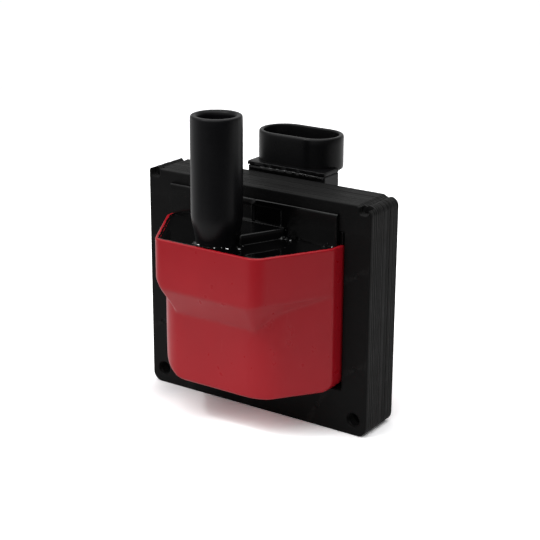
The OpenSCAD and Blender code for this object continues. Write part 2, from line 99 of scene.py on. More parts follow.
class Mat:
    """A Principled material with its procedural nodes, in object coordinates (metres)."""

    def __init__(self, name, **values):
        self.m = bpy.data.materials.new(name)
        self.m.use_nodes = True
        self.t = self.m.node_tree
        self.t.nodes.clear()
        self.out = self.new("ShaderNodeOutputMaterial")
        self.b = self.new("ShaderNodeBsdfPrincipled")
        self.link(self.b.outputs[0], self.out.inputs[0])
        self.co = self.new("ShaderNodeTexCoord").outputs["Object"]
        for k, v in values.items():
            self.b.inputs[k.replace("_", " ")].default_value = v

    def new(self, kind, **props):
        n = self.t.nodes.new(kind)
        for k, v in props.items():
            setattr(n, k, v)
        return n

    def link(self, a, b):
        self.t.links.new(a, b)

    def put(self, socket, v):
        if isinstance(v, bpy.types.NodeSocket):
            self.link(v, socket)
        else:
            socket.default_value = v

    def mapped(self, scale=(1, 1, 1), rot=(0, 0, 0), loc=(0, 0, 0)):
        n = self.new("ShaderNodeMapping")
        self.link(self.co, n.inputs["Vector"])
        n.inputs["Scale"].default_value = scale
        n.inputs["Rotation"].default_value = rot
        n.inputs["Location"].default_value = loc
        return n.outputs[0]

    def noise(self, scale, detail=3.0, rough=0.5, vec=None, dist=0.0):
        n = self.new("ShaderNodeTexNoise")
        self.link(vec or self.co, n.inputs["Vector"])
        n.inputs["Scale"].default_value = scale
        n.inputs["Detail"].default_value = detail
        n.inputs["Roughness"].default_value = rough
        n.inputs["Distortion"].default_value = dist
        return n.outputs["Fac"]

    def voronoi(self, scale, feature="F1", vec=None, rand=1.0):
        n = self.new("ShaderNodeTexVoronoi", feature=feature)
        self.link(vec or self.co, n.inputs["Vector"])
        n.inputs["Scale"].default_value = scale
        n.inputs["Randomness"].default_value = rand
        return n.outputs["Distance"]

    def math(self, op, a, b=0.0, c=None, clamp=False):
        n = self.new("ShaderNodeMath", operation=op, use_clamp=clamp)
        self.put(n.inputs[0], a)
        self.put(n.inputs[1], b)
        if c is not None:
            self.put(n.inputs[2], c)
        return n.outputs[0]

    def ramp(self, v, lo, hi, a=0.0, b=1.0, smooth=False):
        n = self.new("ShaderNodeMapRange")
        n.clamp = True
        if smooth:
            n.interpolation_type = "SMOOTHSTEP"
        self.put(n.inputs["Value"], v)
        n.inputs["From Min"].default_value = lo
        n.inputs["From Max"].default_value = hi
        n.inputs["To Min"].default_value = a
        n.inputs["To Max"].default_value = b
        return n.outputs["Result"]

    def mix(self, fac, a, b):
        n = self.new("ShaderNodeMix", data_type="RGBA")
        self.put(n.inputs["Factor"], fac)
        for s, v in (("A", a), ("B", b)):
            sock = [i for i in n.inputs if i.name == s and i.type == "RGBA"][0]
            self.put(sock, v if isinstance(v, bpy.types.NodeSocket) else (*v, 1.0))
        return [o for o in n.outputs if o.type == "RGBA"][0]

    def axis(self, name):
        n = self.new("ShaderNodeSeparateXYZ")
        self.link(self.co, n.inputs[0])
        return n.outputs[name]

    def normal_axis(self, name):
        g = self.new("ShaderNodeNewGeometry")
        n = self.new("ShaderNodeSeparateXYZ")
        self.link(g.outputs["Normal"], n.inputs[0])
        return n.outputs[name]

    def pointiness(self, lo, hi):
        g = self.new("ShaderNodeNewGeometry")
        return self.ramp(g.outputs["Pointiness"], lo, hi)

    def bump(self, height, dist, strength=1.0, normal=None):
        n = self.new("ShaderNodeBump")
        n.inputs["Strength"].default_value = strength
        n.inputs["Distance"].default_value = dist
        self.put(n.inputs["Height"], height)
        if normal is not None:
            self.link(normal, n.inputs["Normal"])
        return n.outputs[0]

    def set(self, **values):
        for k, v in values.items():
            self.put(self.b.inputs[k.replace("_", " ")], v)
        return self


def painted_steel(name, base=0.0015, hi=0.0042):
    """Black paint over a stack of sheets: stripes follow the stack (Y) on the cut edges."""
    m = Mat(name, Specular_IOR_Level=0.1)
    y = m.axis("Y")
    edge = m.ramp(m.math("ABSOLUTE", m.normal_axis("Y")), 0.35, 0.85, 1.0, 0.0)
    # one value per sheet, and slow wandering of the cut along the edge
    warp = m.noise(14.0, 2.0)
    row = m.new("ShaderNodeCombineXYZ")
    m.link(m.math("MULTIPLY_ADD", warp, 0.0006, y), row.inputs[0])
    sheets = m.noise(1150.0, 2.0, 0.6, vec=row.outputs[0])
    bands = m.noise(330.0, 1.0, 0.5, vec=row.outputs[0])
    stripe = m.math("ADD", m.math("MULTIPLY", sheets, 0.65), m.math("MULTIPLY", bands, 0.35))
    blotch = m.noise(120.0, 4.0, 0.6)
    fine = m.noise(1800.0, 3.0, 0.6)
    tone = m.math("ADD", m.math("MULTIPLY", m.ramp(stripe, 0.38, 0.62), edge),
                  m.math("MULTIPLY", m.ramp(blotch, 0.3, 0.7), 0.35))
    col = m.mix(m.math("MULTIPLY", tone, 0.8, clamp=True), (base, base, base * 1.04), (hi, hi, hi * 1.02))
    # the sides and top, where the sheets' cut edges show, are paler: partly their own rougher paint, partly painted
    # sheen standing in for grazing reflection there
    pale_edge_and_sheen = m.mix(m.math("MULTIPLY", edge, 0.85), col, (hi * 1.9, hi * 1.9, hi * 1.85))
    col = m.mix(m.math("MULTIPLY", edge, 0.75), col, pale_edge_and_sheen)
    wear = m.math("MULTIPLY", m.pointiness(0.53, 0.6), m.ramp(fine, 0.35, 0.65))
    col = m.mix(m.math("MULTIPLY", wear, 0.35), col, (0.02, 0.0195, 0.019))
    # dust and small pits in the paint
    dust = m.ramp(m.noise(2600.0, 1.0, 0.5), 0.74, 0.8)
    col = m.mix(m.math("MULTIPLY", dust, 0.2), col, (0.035, 0.034, 0.032))
    m.set(Base_Color=col)
    m.set(Roughness=m.math("ADD", m.ramp(blotch, 0.3, 0.7, 0.42, 0.52),
                           m.math("MULTIPLY", edge, m.ramp(stripe, 0.35, 0.65, -0.02, 0.1))))
    h = m.math("ADD", m.math("MULTIPLY", fine, 0.35), m.math("MULTIPLY", m.noise(600.0, 2.0), 0.65))
    b1 = m.bump(h, 0.00006, 0.55)
    m.set(Normal=m.bump(m.math("MULTIPLY", stripe, edge), 0.0001, 0.8, b1))
    return m.m


def red_plastic(name):
    m = Mat(name, Specular_IOR_Level=0.25)
    slow = m.noise(45.0, 3.0, 0.55)
    flow = m.noise(55.0, 2.0, 0.5, vec=m.mapped((1.0, 1.0, 0.16)))
    col = m.mix(m.ramp(slow, 0.3, 0.7), (0.32, 0.0055, 0.0115), (0.355, 0.0072, 0.014))
    col = m.mix(m.ramp(flow, 0.45, 0.75, 0.0, 0.25), col, (0.285, 0.0055, 0.012))
    # a few dark specks and faint scuffs
    speck = m.math("MULTIPLY", m.ramp(m.voronoi(90.0), 0.02, 0.03, 1.0, 0.0),
                   m.ramp(m.noise(24.0, 1.0), 0.655, 0.665))
    col = m.mix(m.math("MULTIPLY", speck, 0.55), col, (0.05, 0.006, 0.008))
    scuff = m.ramp(m.noise(900.0, 2.0, 0.5, vec=m.mapped((1.0, 1.0, 0.12), rot=(0.5, 0.2, 0.3))), 0.7, 0.76)
    col = m.mix(m.math("MULTIPLY", scuff, 0.04), col, (0.6, 0.12, 0.12))
    m.set(Base_Color=col)
    m.set(Roughness=m.ramp(m.noise(300.0, 3.0), 0.3, 0.7, 0.27, 0.36))
    peel = m.math("ADD", m.math("MULTIPLY", m.noise(650.0, 2.0), 0.6), m.math("MULTIPLY", m.noise(2400.0, 2.0), 0.4))
    m.set(Normal=m.bump(peel, 0.00003, 0.5))
    return m.m


def satin_black(name, base=(0.0034, 0.0034, 0.0042), rough=(0.31, 0.41), spec=0.165, grain=0.00004):
    m = Mat(name, Specular_IOR_Level=spec)
    slow = m.noise(70.0, 3.0, 0.6)
    draw = m.noise(260.0, 2.0, 0.5, vec=m.mapped((1.0, 1.0, 0.06)))
    dark = tuple(c * 0.7 for c in base)
    col = m.mix(m.ramp(slow, 0.3, 0.7), dark, base)
    scr = m.ramp(m.noise(1500.0, 2.0, 0.5, vec=m.mapped((1.0, 1.0, 0.05), rot=(0.1, 0.15, 0.0))), 0.68, 0.74)
    col = m.mix(m.math("MULTIPLY", scr, 0.12), col, (0.012, 0.012, 0.013))
    wear = m.math("MULTIPLY", m.pointiness(0.52, 0.6), m.ramp(m.noise(1200.0, 2.0), 0.4, 0.65))
    col = m.mix(m.math("MULTIPLY", wear, 0.3), col, (0.016, 0.016, 0.017))
    m.set(Base_Color=col)
    m.set(Roughness=m.ramp(m.math("ADD", m.math("MULTIPLY", slow, 0.5), m.math("MULTIPLY", draw, 0.5)),
                           0.35, 0.65, *rough))
    h = m.math("ADD", m.math("MULTIPLY", m.noise(1900.0, 3.0), 0.7), m.math("MULTIPLY", draw, 0.3))
    m.set(Normal=m.bump(h, grain, 0.5))
    return m.m


def cast_resin(name, rough=(0.035, 0.07), wave=0.00002, spec=0.42):
    m = Mat(name, Specular_IOR_Level=spec)
    slow = m.noise(90.0, 3.0)
    col = m.mix(m.ramp(slow, 0.3, 0.7), (0.0008, 0.0008, 0.0009), (0.0016, 0.0016, 0.0017))
    bubble = m.ramp(m.voronoi(420.0), 0.04, 0.07, 1.0, 0.0)
    few = m.math("MULTIPLY", bubble, m.ramp(m.noise(150.0, 1.0), 0.6, 0.64))
    col = m.mix(m.math("MULTIPLY", few, 0.3), col, (0.03, 0.03, 0.03))
    m.set(Base_Color=col)
    m.set(Roughness=m.ramp(m.noise(240.0, 3.0), 0.3, 0.7, *rough))
    h = m.math("SUBTRACT", m.noise(330.0, 2.0, 0.5, dist=0.3), m.math("MULTIPLY", few, 0.4))
    m.set(Normal=m.bump(h, wave, 0.3))
    return m.m


def metal(name, a, b, rough, brushed=(1, 1, 0.05), scale=900.0):
    m = Mat(name, Metallic=1.0)
    fine = m.noise(scale, 3.0, 0.6, vec=m.mapped(brushed))
    slow = m.noise(160.0, 3.0)
    col = m.mix(m.ramp(m.math("ADD", m.math("MULTIPLY", fine, 0.5), m.math("MULTIPLY", slow, 0.5)), 0.35, 0.65), a, b)
    m.set(Base_Color=col)
    m.set(Roughness=m.ramp(fine, 0.3, 0.7, *rough))
    m.set(Normal=m.bump(fine, 0.00002, 0.5))
    return m.m


def enamelled_wire(name, a, b, turns):
    """Copper under enamel, with the single turns of wire as ridges along Z."""
    m = Mat(name, Metallic=0.85, Coat_Weight=0.5, Coat_Roughness=0.15)
    wave = m.math("SINE", m.math("MULTIPLY", m.axis("Z"), turns))
    tone = m.noise(220.0, 3.0)
    m.set(Base_Color=m.mix(m.ramp(tone, 0.3, 0.7), a, b))
    m.set(Roughness=m.ramp(tone, 0.3, 0.7, 0.25, 0.4))
    m.set(Normal=m.bump(wave, 0.00008, 0.7))
    return m.m


def nylon(name, a, b):
    m = Mat(name, Specular_IOR_Level=0.4, Subsurface_Weight=0.05)
    n = m.noise(130.0, 4.0, 0.6)
    m.set(Base_Color=m.mix(m.ramp(n, 0.3, 0.7), a, b))
    m.set(Roughness=m.ramp(m.noise(700.0, 3.0), 0.3, 0.7, 0.38, 0.52))
    m.set(Normal=m.bump(m.noise(1500.0, 3.0), 0.00004, 0.5))
    return m.m


def tape(name, a, b):
    """Insulating tape: overlapping laps along Z with a woven backing."""
    m = Mat(name, Specular_IOR_Level=0.4)
    lap = m.math("FRACT", m.math("MULTIPLY", m.axis("Z"), 160.0))
    n = m.noise(900.0, 3.0, 0.6, vec=m.mapped((1, 1, 4)))
    m.set(Base_Color=m.mix(m.math("MULTIPLY", m.ramp(lap, 0.0, 0.25, 1.0, 0.0), 0.6), m.mix(m.ramp(n, 0.3, 0.7), a, b),
                           tuple(c * 0.6 for c in a)))
    m.set(Roughness=m.ramp(n, 0.3, 0.7, 0.3, 0.5))
    m.set(Normal=m.bump(m.math("ADD", lap, m.math("MULTIPLY", n, 0.4)), 0.00006, 0.6))
    return m.m


M_CORE_E = painted_steel("core_paint_e")
M_CORE_I = painted_steel("core_paint_i", 0.0024, 0.0048)
M_WELD = painted_steel("weld_paint", 0.0026, 0.005)
M_RED = red_plastic("red_housing")
M_TOWER = satin_black("tower_plastic")
M_CONN = satin_black("connector_plastic", base=(0.003, 0.003, 0.0034), rough=(0.26, 0.36))
M_RESIN = cast_resin("cast_resin")
M_WET = cast_resin("resin_wetted_plastic", rough=(0.13, 0.22), wave=0.00004, spec=0.26)
M_BRASS = metal("turned_brass", (0.62, 0.42, 0.17), (0.75, 0.55, 0.26), (0.2, 0.34), (1, 1, 8), 500.0)
M_TIN = metal("tinned_brass", (0.62, 0.61, 0.56), (0.76, 0.75, 0.69), (0.22, 0.38))
M_COPPER = metal("copper_lead", (0.6, 0.26, 0.12), (0.75, 0.38, 0.2), (0.22, 0.34))
M_PRI = enamelled_wire("primary_wire", (0.5, 0.17, 0.06), (0.65, 0.27, 0.11), 6283.0 / 1.0)
M_SEC = enamelled_wire("secondary_wire", (0.38, 0.12, 0.045), (0.5, 0.18, 0.07), 6283.0 / 0.25)
M_NYLON_P = nylon("primary_bobbin_nylon", (0.7, 0.66, 0.54), (0.8, 0.77, 0.68))
M_NYLON_S = nylon("secondary_bobbin_nylon", (0.66, 0.65, 0.58), (0.78, 0.77, 0.71))
M_TAPE_P = tape("primary_tape", (0.72, 0.52, 0.16), (0.82, 0.64, 0.26))
M_TAPE_S = tape("secondary_tape", (0.76, 0.62, 0.28), (0.84, 0.72, 0.38))
M_SHIM = tape("gap_sheet", (0.45, 0.37, 0.2), (0.58, 0.5, 0.3))


# ------------------------------------------------------------------ mesh code

def unit(v):
    return v / np.linalg.norm(v)


def rounded(pts, radii, n=8):
    """Outline through pts with each corner rounded by its radius."""
    out = []
    k = len(pts)
    for i in range(k):
        a, b, c = (np.array(pts[(i + j) % k], float) for j in (-1, 0, 1))
        r = radii[i]
        if r <= 0:
            out.append(b)
            continue
        u, w = unit(a - b), unit(c - b)
        h = math.acos(max(-1, min(1, float(u @ w)))) / 2
        o = b + unit(u + w) * r / math.sin(h)
        s, e = b + u * r / math.tan(h) - o, b + w * r / math.tan(h) - o
        a0, a1 = math.atan2(s[1], s[0]), math.atan2(e[1], e[0])
        d = (a1 - a0 + 3 * math.pi) % (2 * math.pi) - math.pi
        out += [o + r * np.array([math.cos(a0 + d * j / n), math.sin(a0 + d * j / n)]) for j in range(n + 1)]
    return np.array(out)


def circle(x, y, r, n=40, phase=0.0):
    a = phase + np.arange(n) * 2 * math.pi / n
    return np.c_[x + r * np.cos(a), y + r * np.sin(a)]


def resample(loop, step):
    """The closed loop with points added so that none are further apart than step."""
    out = []
    for i in range(len(loop)):
        a, b = loop[i], loop[(i + 1) % len(loop)]
        k = max(1, math.ceil(np.linalg.norm(b - a) / step))
        out += [a + (b - a) * j / k for j in range(k)]
    return np.array(out)


def area2(loop):
    x, y = loop[:, 0], loop[:, 1]
    return float(np.sum(x * np.roll(y, -1) - np.roll(x, -1) * y))


def inset(loop, d):
    """The loop moved inwards by a small d at each corner's normal."""
    s = 1.0 if area2(loop) > 0 else -1.0
    e = np.roll(loop, -1, 0) - loop
    e /= np.maximum(np.linalg.norm(e, axis=1), 1e-12)[:, None]
    nrm = np.c_[-e[:, 1], e[:, 0]] * s
    prev = np.roll(nrm, 1, 0)
    m = nrm + prev
    m /= np.maximum(np.sum(m * nrm, axis=1), 0.3)[:, None]
    return loop + m * d


def inside(pts, loop):
    pts = np.asarray(pts, float)
    x, y = pts[:, 0][:, None], pts[:, 1][:, None]
    x0, y0 = loop[:, 0][None], loop[:, 1][None]
    x1, y1 = np.roll(loop[:, 0], -1)[None], np.roll(loop[:, 1], -1)[None]
    dy = np.where(y1 == y0, 1e-12, y1 - y0)
    hit = ((y0 > y) != (y1 > y)) & (x < (x1 - x0) * (y - y0) / dy + x0)
    return hit.sum(1) % 2 == 1


def distance(pts, loop):
    """Distance of each point to the closed loop."""
    pts = np.asarray(pts, float)
    best = np.full(len(pts), 1e9)
    nxt = np.roll(loop, -1, 0)
    for a, b in zip(loop, nxt):
        ab = b - a
        t = np.clip(((pts - a) @ ab) / max(float(ab @ ab), 1e-12), 0, 1)
        best = np.minimum(best, np.linalg.norm(pts - (a + t[:, None] * ab), axis=1))
    return best


def fill(outer, holes=(), extra=(), rings=()):
    """Triangles between an outer loop and its holes, through extra points and rings inside."""
    loops = [outer, *holes, *rings]
    pts, edges = [], []
    for lp in loops:
        k = len(pts)
        pts += [Vector(p) for p in lp]
        edges += [(k + i, k + (i + 1) % len(lp)) for i in range(len(lp))]
    pts += [Vector(p) for p in extra]
    v, _, f, *_ = delaunay_2d_cdt(pts, edges, [], 0, 1e-7)
    v = np.array([tuple(p) for p in v])
    cen = np.array([v[list(t)].mean(0) for t in f])
    keep = inside(cen, outer)
    for h in holes:
        keep &= ~inside(cen, h)
    return v, [list(t) for t, k in zip(f, keep) if k]


class Build:
    """Collects vertices (mm) and faces, and makes one clean mesh object."""

    def __init__(self):
        self.v, self.f, self.flat = [], [], set()

    def add(self, verts):
        k = len(self.v)
        self.v += [tuple(map(float, p)) for p in verts]
        return list(range(k, len(self.v)))

    def strip(self, a, b, closed=True):
        n = len(a)
        for i in range(n if closed else n - 1):
            j = (i + 1) % n
            self.f.append((a[i], a[j], b[j], b[i]))

    def loft(self, loops, closed=True):
        ids = [self.add(lp) for lp in loops]
        for a, b in zip(ids, ids[1:]):
            self.strip(a, b, closed)
        return ids

    def cap(self, v3, tris, flat=False):
        k = len(self.v)
        if flat:
            self.flat |= set(range(len(self.f), len(self.f) + len(tris)))
        self.v += [tuple(map(float, p)) for p in v3]
        self.f += [tuple(k + i for i in t) for t in tris]

    def make(self, name, mat, sharp=40.0, weld=1e-4):
        bm = bmesh.new()
        vs = [bm.verts.new((x * MM, y * MM, z * MM)) for x, y, z in self.v]
        for k, f in enumerate(self.f):
            if len(set(f)) == len(f):
                try:
                    bm.faces.new([vs[i] for i in f]).material_index = int(k in self.flat)
                except ValueError:
                    pass
        bmesh.ops.remove_doubles(bm, verts=bm.verts, dist=weld * MM)
        bmesh.ops.dissolve_degenerate(bm, dist=1e-9, edges=bm.edges)
        loose = [v for v in bm.verts if not v.link_faces]
        bmesh.ops.delete(bm, geom=loose, context="VERTS")
        # pull a cap's edge onto its wall, then close what is left open
        rim = [e for e in bm.edges if e.is_boundary]
        if rim:
            bm.verts.index_update()
            verts = sorted({v for e in rim for v in e.verts}, key=lambda v: v.index)
            bmesh.ops.remove_doubles(bm, verts=verts, dist=0.03 * MM)
            rim = [e for e in bm.edges if e.is_boundary]
        if rim:
            bmesh.ops.holes_fill(bm, edges=rim, sides=0)
        bmesh.ops.recalc_face_normals(bm, faces=bm.faces)
        return finish_piece(bm, name, mat, sharp)


def finish_piece(bm, name, mat, sharp=40.0, weighted=False):
    lim = math.radians(sharp)
    for f in bm.faces:
        f.smooth = f.material_index == 0
        f.material_index = 0
    for e in bm.edges:
        e.smooth = not (len(e.link_faces) == 2 and e.calc_face_angle(0.0) > lim)
    me = bpy.data.meshes.new(name)
    bm.to_mesh(me)
    bm.free()
    me.materials.clear()
    me.materials.append(mat)
    ob = bpy.data.objects.new(name, me)
    scene.collection.objects.link(ob)
    if weighted:
        w = ob.modifiers.new("weighted", "WEIGHTED_NORMAL")
        w.keep_sharp = True
        w.weight = 100
    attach(ob, "root")
    return ob


def stand_for(ob, slot, *names):
    if names:
        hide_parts(*names)
    return ob


def copy_cad(node):
    """The node's own mesh as flat polygons, ready to bevel."""
    bm = bmesh.new()
    bm.from_mesh(nodes[node].data)
    bmesh.ops.remove_doubles(bm, verts=bm.verts, dist=2e-6)
    bmesh.ops.dissolve_limit(bm, angle_limit=math.radians(0.4), verts=bm.verts, edges=bm.edges,
                             use_dissolve_boundaries=False, delimit=set())
    return bm


def bevelled(node, name, mat, width, segments=3, angle=24.0, sharp=50.0):
    bm = copy_cad(node)
    lim = math.radians(angle)
    edges = [e for e in bm.edges if len(e.link_faces) == 2 and e.calc_face_angle(0.0) > lim]
    bmesh.ops.bevel(bm, geom=edges, offset=width * MM, offset_type="OFFSET", segments=segments,
                    profile=0.5, affect="EDGES", clamp_overlap=True, loop_slide=True)
    bmesh.ops.recalc_face_normals(bm, faces=bm.faces)
    return finish_piece(bm, name, mat, sharp, weighted=True)


def wob(p, scale, seed=0.0):
    """Smooth noise, about -1 to 1, of a point in mm; scale is the feature size in mm."""
    return noise.noise(Vector((p[0] / scale + seed, p[1] / scale - seed, p[2] / scale + 2 * seed)))


def rbox(name, mat, lo, hi, r, segs=3, cuts=0, shift=None):
    """Box with rounded edges; with cuts, a fine skin that shift(p, n) moves point by point."""
    bm = bmesh.new()
    bmesh.ops.create_cube(bm, size=1.0)
    lo, hi = np.array(lo, float), np.array(hi, float)
    c, s = (lo + hi) / 2, hi - lo
    for v in bm.verts:
        v.co = Vector(c + np.array(v.co) * s)
    if cuts:
        longest = max(s) / cuts
        for ax in range(3):
            k = int(round(s[ax] / longest)) - 1
            if k < 1:
                continue
            for j in range(1, k + 1):
                x = lo[ax] + r * 1.05 + (s[ax] - 2.1 * r) * (j - 1) / max(1, k - 1)
                nrm = [0, 0, 0]
                nrm[ax] = 1
                co = [0, 0, 0]
                co[ax] = x
                bmesh.ops.bisect_plane(bm, geom=bm.verts[:] + bm.edges[:] + bm.faces[:], dist=1e-6,
                                       plane_co=co, plane_no=nrm)
    edges = [e for e in bm.edges if e.calc_face_angle(0.0) > 0.6]
    bmesh.ops.bevel(bm, geom=edges, offset=r, offset_type="OFFSET", segments=segs, profile=0.5,
                    affect="EDGES", clamp_overlap=True)
    bm.normal_update()
    if shift:
        moves = [Vector(shift(np.array(v.co), np.array(v.normal))) for v in bm.verts]
        for v, m in zip(bm.verts, moves):
            v.co += m
    bmesh.ops.scale(bm, vec=(MM, MM, MM), verts=bm.verts)
    bmesh.ops.recalc_face_normals(bm, faces=bm.faces)
    return finish_piece(bm, name, mat, 50.0, weighted=not cuts)


# ------------------------------------------------------------------ iron core

e_lo, e_hi = box("core_e_laminations")
i_lo, i_hi = box("core_i_laminations")
HX, FACE = e_hi[0], e_hi[1]
BAR_Z, TOP_Z = i_lo[2], i_hi[2]
LEG, LEG_X, YOKE, GAP = 8.4, 8.0, 12.8, 0.8
WIN = HX - LEG
HOLE = [(-HX + 4.25, 4.65), (HX - 4.25, 4.65)]
HOLE_R = 2.1


def lamination_levels(seed=11, sheets=30):
    """(y, inset) down the stack: each sheet stands a little in or out, with a fine groove between."""
    rnd = random.Random(seed)
    t = 2 * FACE / sheets
    step = [rnd.choice((0.0, 0.0, 0.015, 0.03, 0.05, 0.075)) for _ in range(sheets)]
    step[0] = step[-1] = 0.0
    lv = [(-FACE, 0.34), (-FACE + 0.05, 0.17), (-FACE + 0.15, 0.055), (-FACE + 0.32, step[0])]
    for i in range(1, sheets):
        y = -FACE + i * t
        a, b = step[i - 1], step[i]
        lv += [(y - 0.07, a), (y, max(a, b) + 0.05), (y + 0.07, b)]
    lv += [(FACE - 0.32, step[-1]), (FACE - 0.15, 0.055), (FACE - 0.05, 0.17), (FACE, 0.34)]
    return lv


LEVELS = lamination_levels()


def dimple_rings(x, z, r=0.9):
    return [circle(x, z, q, 28) for q in (r, r * 0.86, r * 0.6)]


def stack(name, outline, holes, dimples, mat, fixed_z=None, step=1.2):
    """The painted stack with this outline in X and Z, one loop or a function of y.
    fixed_z keeps the flat joint between the two stacks."""
    b = Build()
    shape = outline if callable(outline) else (lambda y, lp=resample(outline, step): lp)
    loops, hole_loops = [], [[] for _ in holes]
    rnd = random.Random(5)
    shake = [(0.0, 0.0)]
    for y, d in LEVELS:
        base = shape(y)
        lp = inset(base, d)
        if fixed_z is not None:
            on = np.abs(base[:, 1] - fixed_z) < 1e-6
            lp[on, 1] = fixed_z
            lp[on, 0] = base[on, 0] - np.sign(base[on, 0]) * np.where(np.abs(np.abs(base[on, 0]) - HX) < 1e-6, d, 0)
        loops.append([(x, y, z) for x, z in lp])
        if rnd.random() < 0.25:
            shake.append((rnd.uniform(-0.1, 0.1), rnd.uniform(-0.1, 0.1)))
        for h, (x, z) in zip(hole_loops, holes):
            c = circle(x + shake[-1][0], z + shake[-1][1], HOLE_R + min(d, 0.3) - 0.03, 40)
            h.append([(p, y, q) for p, q in c])
    b.loft(loops)
    for h in hole_loops:
        b.loft([lp[::-1] for lp in h])
    for k, (y, front) in ((0, (LEVELS[0][0], True)), (-1, (LEVELS[-1][0], False))):
        outer = np.array([(p[0], p[2]) for p in loops[k]])
        hs = [np.array([(p[0], p[2]) for p in h[k]]) for h in hole_loops]
        rings = [r for d in dimples for r in dimple_rings(*d)] if front else []
        v, f = fill(outer, hs, (), rings)
        yy = np.full(len(v), y)
        for dx, dz in dimples if front else []:
            q = np.hypot(v[:, 0] - dx, v[:, 1] - dz)
            yy = np.where(q < 0.8, y + 0.25 - 0.1 * (q / 0.8) ** 2, yy)
        b.cap(np.c_[v[:, 0], yy, v[:, 1]], f, flat=True)
    return b.make(name, mat, sharp=38.0)


e_outline = rounded(
    [[-HX, 0], [HX, 0], [HX, BAR_Z], [WIN, BAR_Z], [WIN, YOKE], [LEG_X, YOKE], [LEG_X, BAR_Z - GAP],
     [-LEG_X, BAR_Z - GAP], [-LEG_X, YOKE], [-WIN, YOKE], [-WIN, BAR_Z], [-HX, BAR_Z]],
    [3, 3, 0, 0, 0.4, 0.2, 0, 0, 0.2, 0.4, 0, 0], 8)
DIMPLES = [(s * x, z) for s in (-1, 1) for x, z in ((HX - LEG / 2, 47.6), (HX - LEG / 2, 20.0), (21.7, 6.4))] + [(0.0, 6.4)]
stand_for(stack("core_e_stack", e_outline, HOLE, DIMPLES, M_CORE_E, fixed_z=BAR_Z),
          "core_e_laminations", "core_e_laminations")


def bar_loop(front):
    """Top bar in X and Z: rounded ends, and across its top a seam groove near each end,
    which is a deep notch in the front edge."""
    ends = HX - 3 + 3 * np.sin(np.linspace(0, math.pi / 2, 26))
    near = np.concatenate([ends, np.arange(30.8, HX - 3, 0.12), [34.0999, 34.1001, 37.0999, 37.1001]])
    xs = np.unique(np.concatenate([np.arange(-30, 30.1, 1.5), near, -near]))
    z = np.full(len(xs), TOP_Z)
    for s, seam, r, drop in ((-1, 2.0, 0.8, 0.0), (1, 3.6, 2.4, 0.4)):
        x = xs * s
        c = HX - seam
        t = np.clip((x - c) / 0.5, 0, 1)
        z = z - drop * t * t * (3 - 2 * t)
        over = np.clip(x - (HX - r), 0, r)
        z = z - (r - np.sqrt(np.maximum(r * r - over * over, 0)))
        q = np.clip(np.abs(x - c) / 1.25, 0, 1)
        z = z - 0.9 * (1 - q * q * (3 - 2 * q)) * (0.6 if s > 0 else 1.0)
        if front:
            q = np.abs(x - (HX - 2.4))
            deep = TOP_Z - 2.45 + 0.9 - np.sqrt(np.maximum(0.81 - np.clip(q - 0.6, 0, 0.9) ** 2, 0))
            z = np.where(q <= 1.5, np.minimum(z, deep), z)
    low = np.linspace(-HX, HX, 61)
    bottom = np.c_[low, np.full(len(low), BAR_Z)]
    return np.vstack([bottom, [[HX, BAR_Z + 2.5]], np.c_[xs, z][::-1], [[-HX, BAR_Z + 2.5]]])


BAR = {True: bar_loop(True), False: bar_loop(False)}
NOTCH_L = 2.6
stand_for(stack("core_i_stack", lambda y: BAR[y < -FACE + NOTCH_L], [], [], M_CORE_I, fixed_z=BAR_Z),
          "core_i_laminations", "core_i_laminations")


def weld(side):
    """Rippled weld bead in the groove on the rear face, its scales overlapping upwards."""
    lo, hi = box("core_weld_left" if side < 0 else "core_weld_right")
    cx, r = (lo[0] + hi[0]) / 2, (hi[0] - lo[0]) / 2
    b = Build()
    loops = []
    n, k = 24, 64
    for j in range(k + 1):
        z = lo[2] + (hi[2] - lo[2]) * j / k
        ph = (z - lo[2]) / 0.9 % 1.0
        end = min(1.0, math.sqrt(max(0.0, 1 - (2 * j / k - 1) ** 8)) + 0.02)
        out = (0.93 + 0.07 * math.sin(math.pi * ph)) * end
        lp = []
        for i in range(n):
            a = 2 * math.pi * i / n
            x = cx + r * 0.98 * math.cos(a) * end
            y = math.sin(a)
            y = FACE - 0.08 - (1 - out) * 0.9 + 0.04 * math.cos(math.pi * (x - cx) / r / 2) if y > 0 else FACE - 0.1 + y * r * 0.95 * end
            lp.append((x, y, z))
        loops.append(lp)
    b.loft(loops)
    for lp in (loops[0], loops[-1]):
        c = np.mean(lp, 0)
        ids = b.add([c, *lp])
        for i in range(n):
            b.f.append((ids[0], ids[1 + i], ids[1 + (i + 1) % n]))
    name = "weld_bead_left" if side < 0 else "weld_bead_right"
    node = "core_weld_left" if side < 0 else "core_weld_right"
    stand_for(b.make(name, M_WELD, sharp=50), node, node)


weld(-1)
weld(1)


# ------------------------------------------------------------------ cup

h_lo, h_hi = box("housing")
RIM, FLOOR = 55.4, h_lo[2]
WALL = 1.5
CEN = np.array([0.0, -3.0])
IN_Z = FLOOR + WALL
BOTTOM_R = 1.15
TUN_IN, TUN_OUT, TUN_TOP = (8.3, 7.75), (9.7, 9.15), h_hi[2]


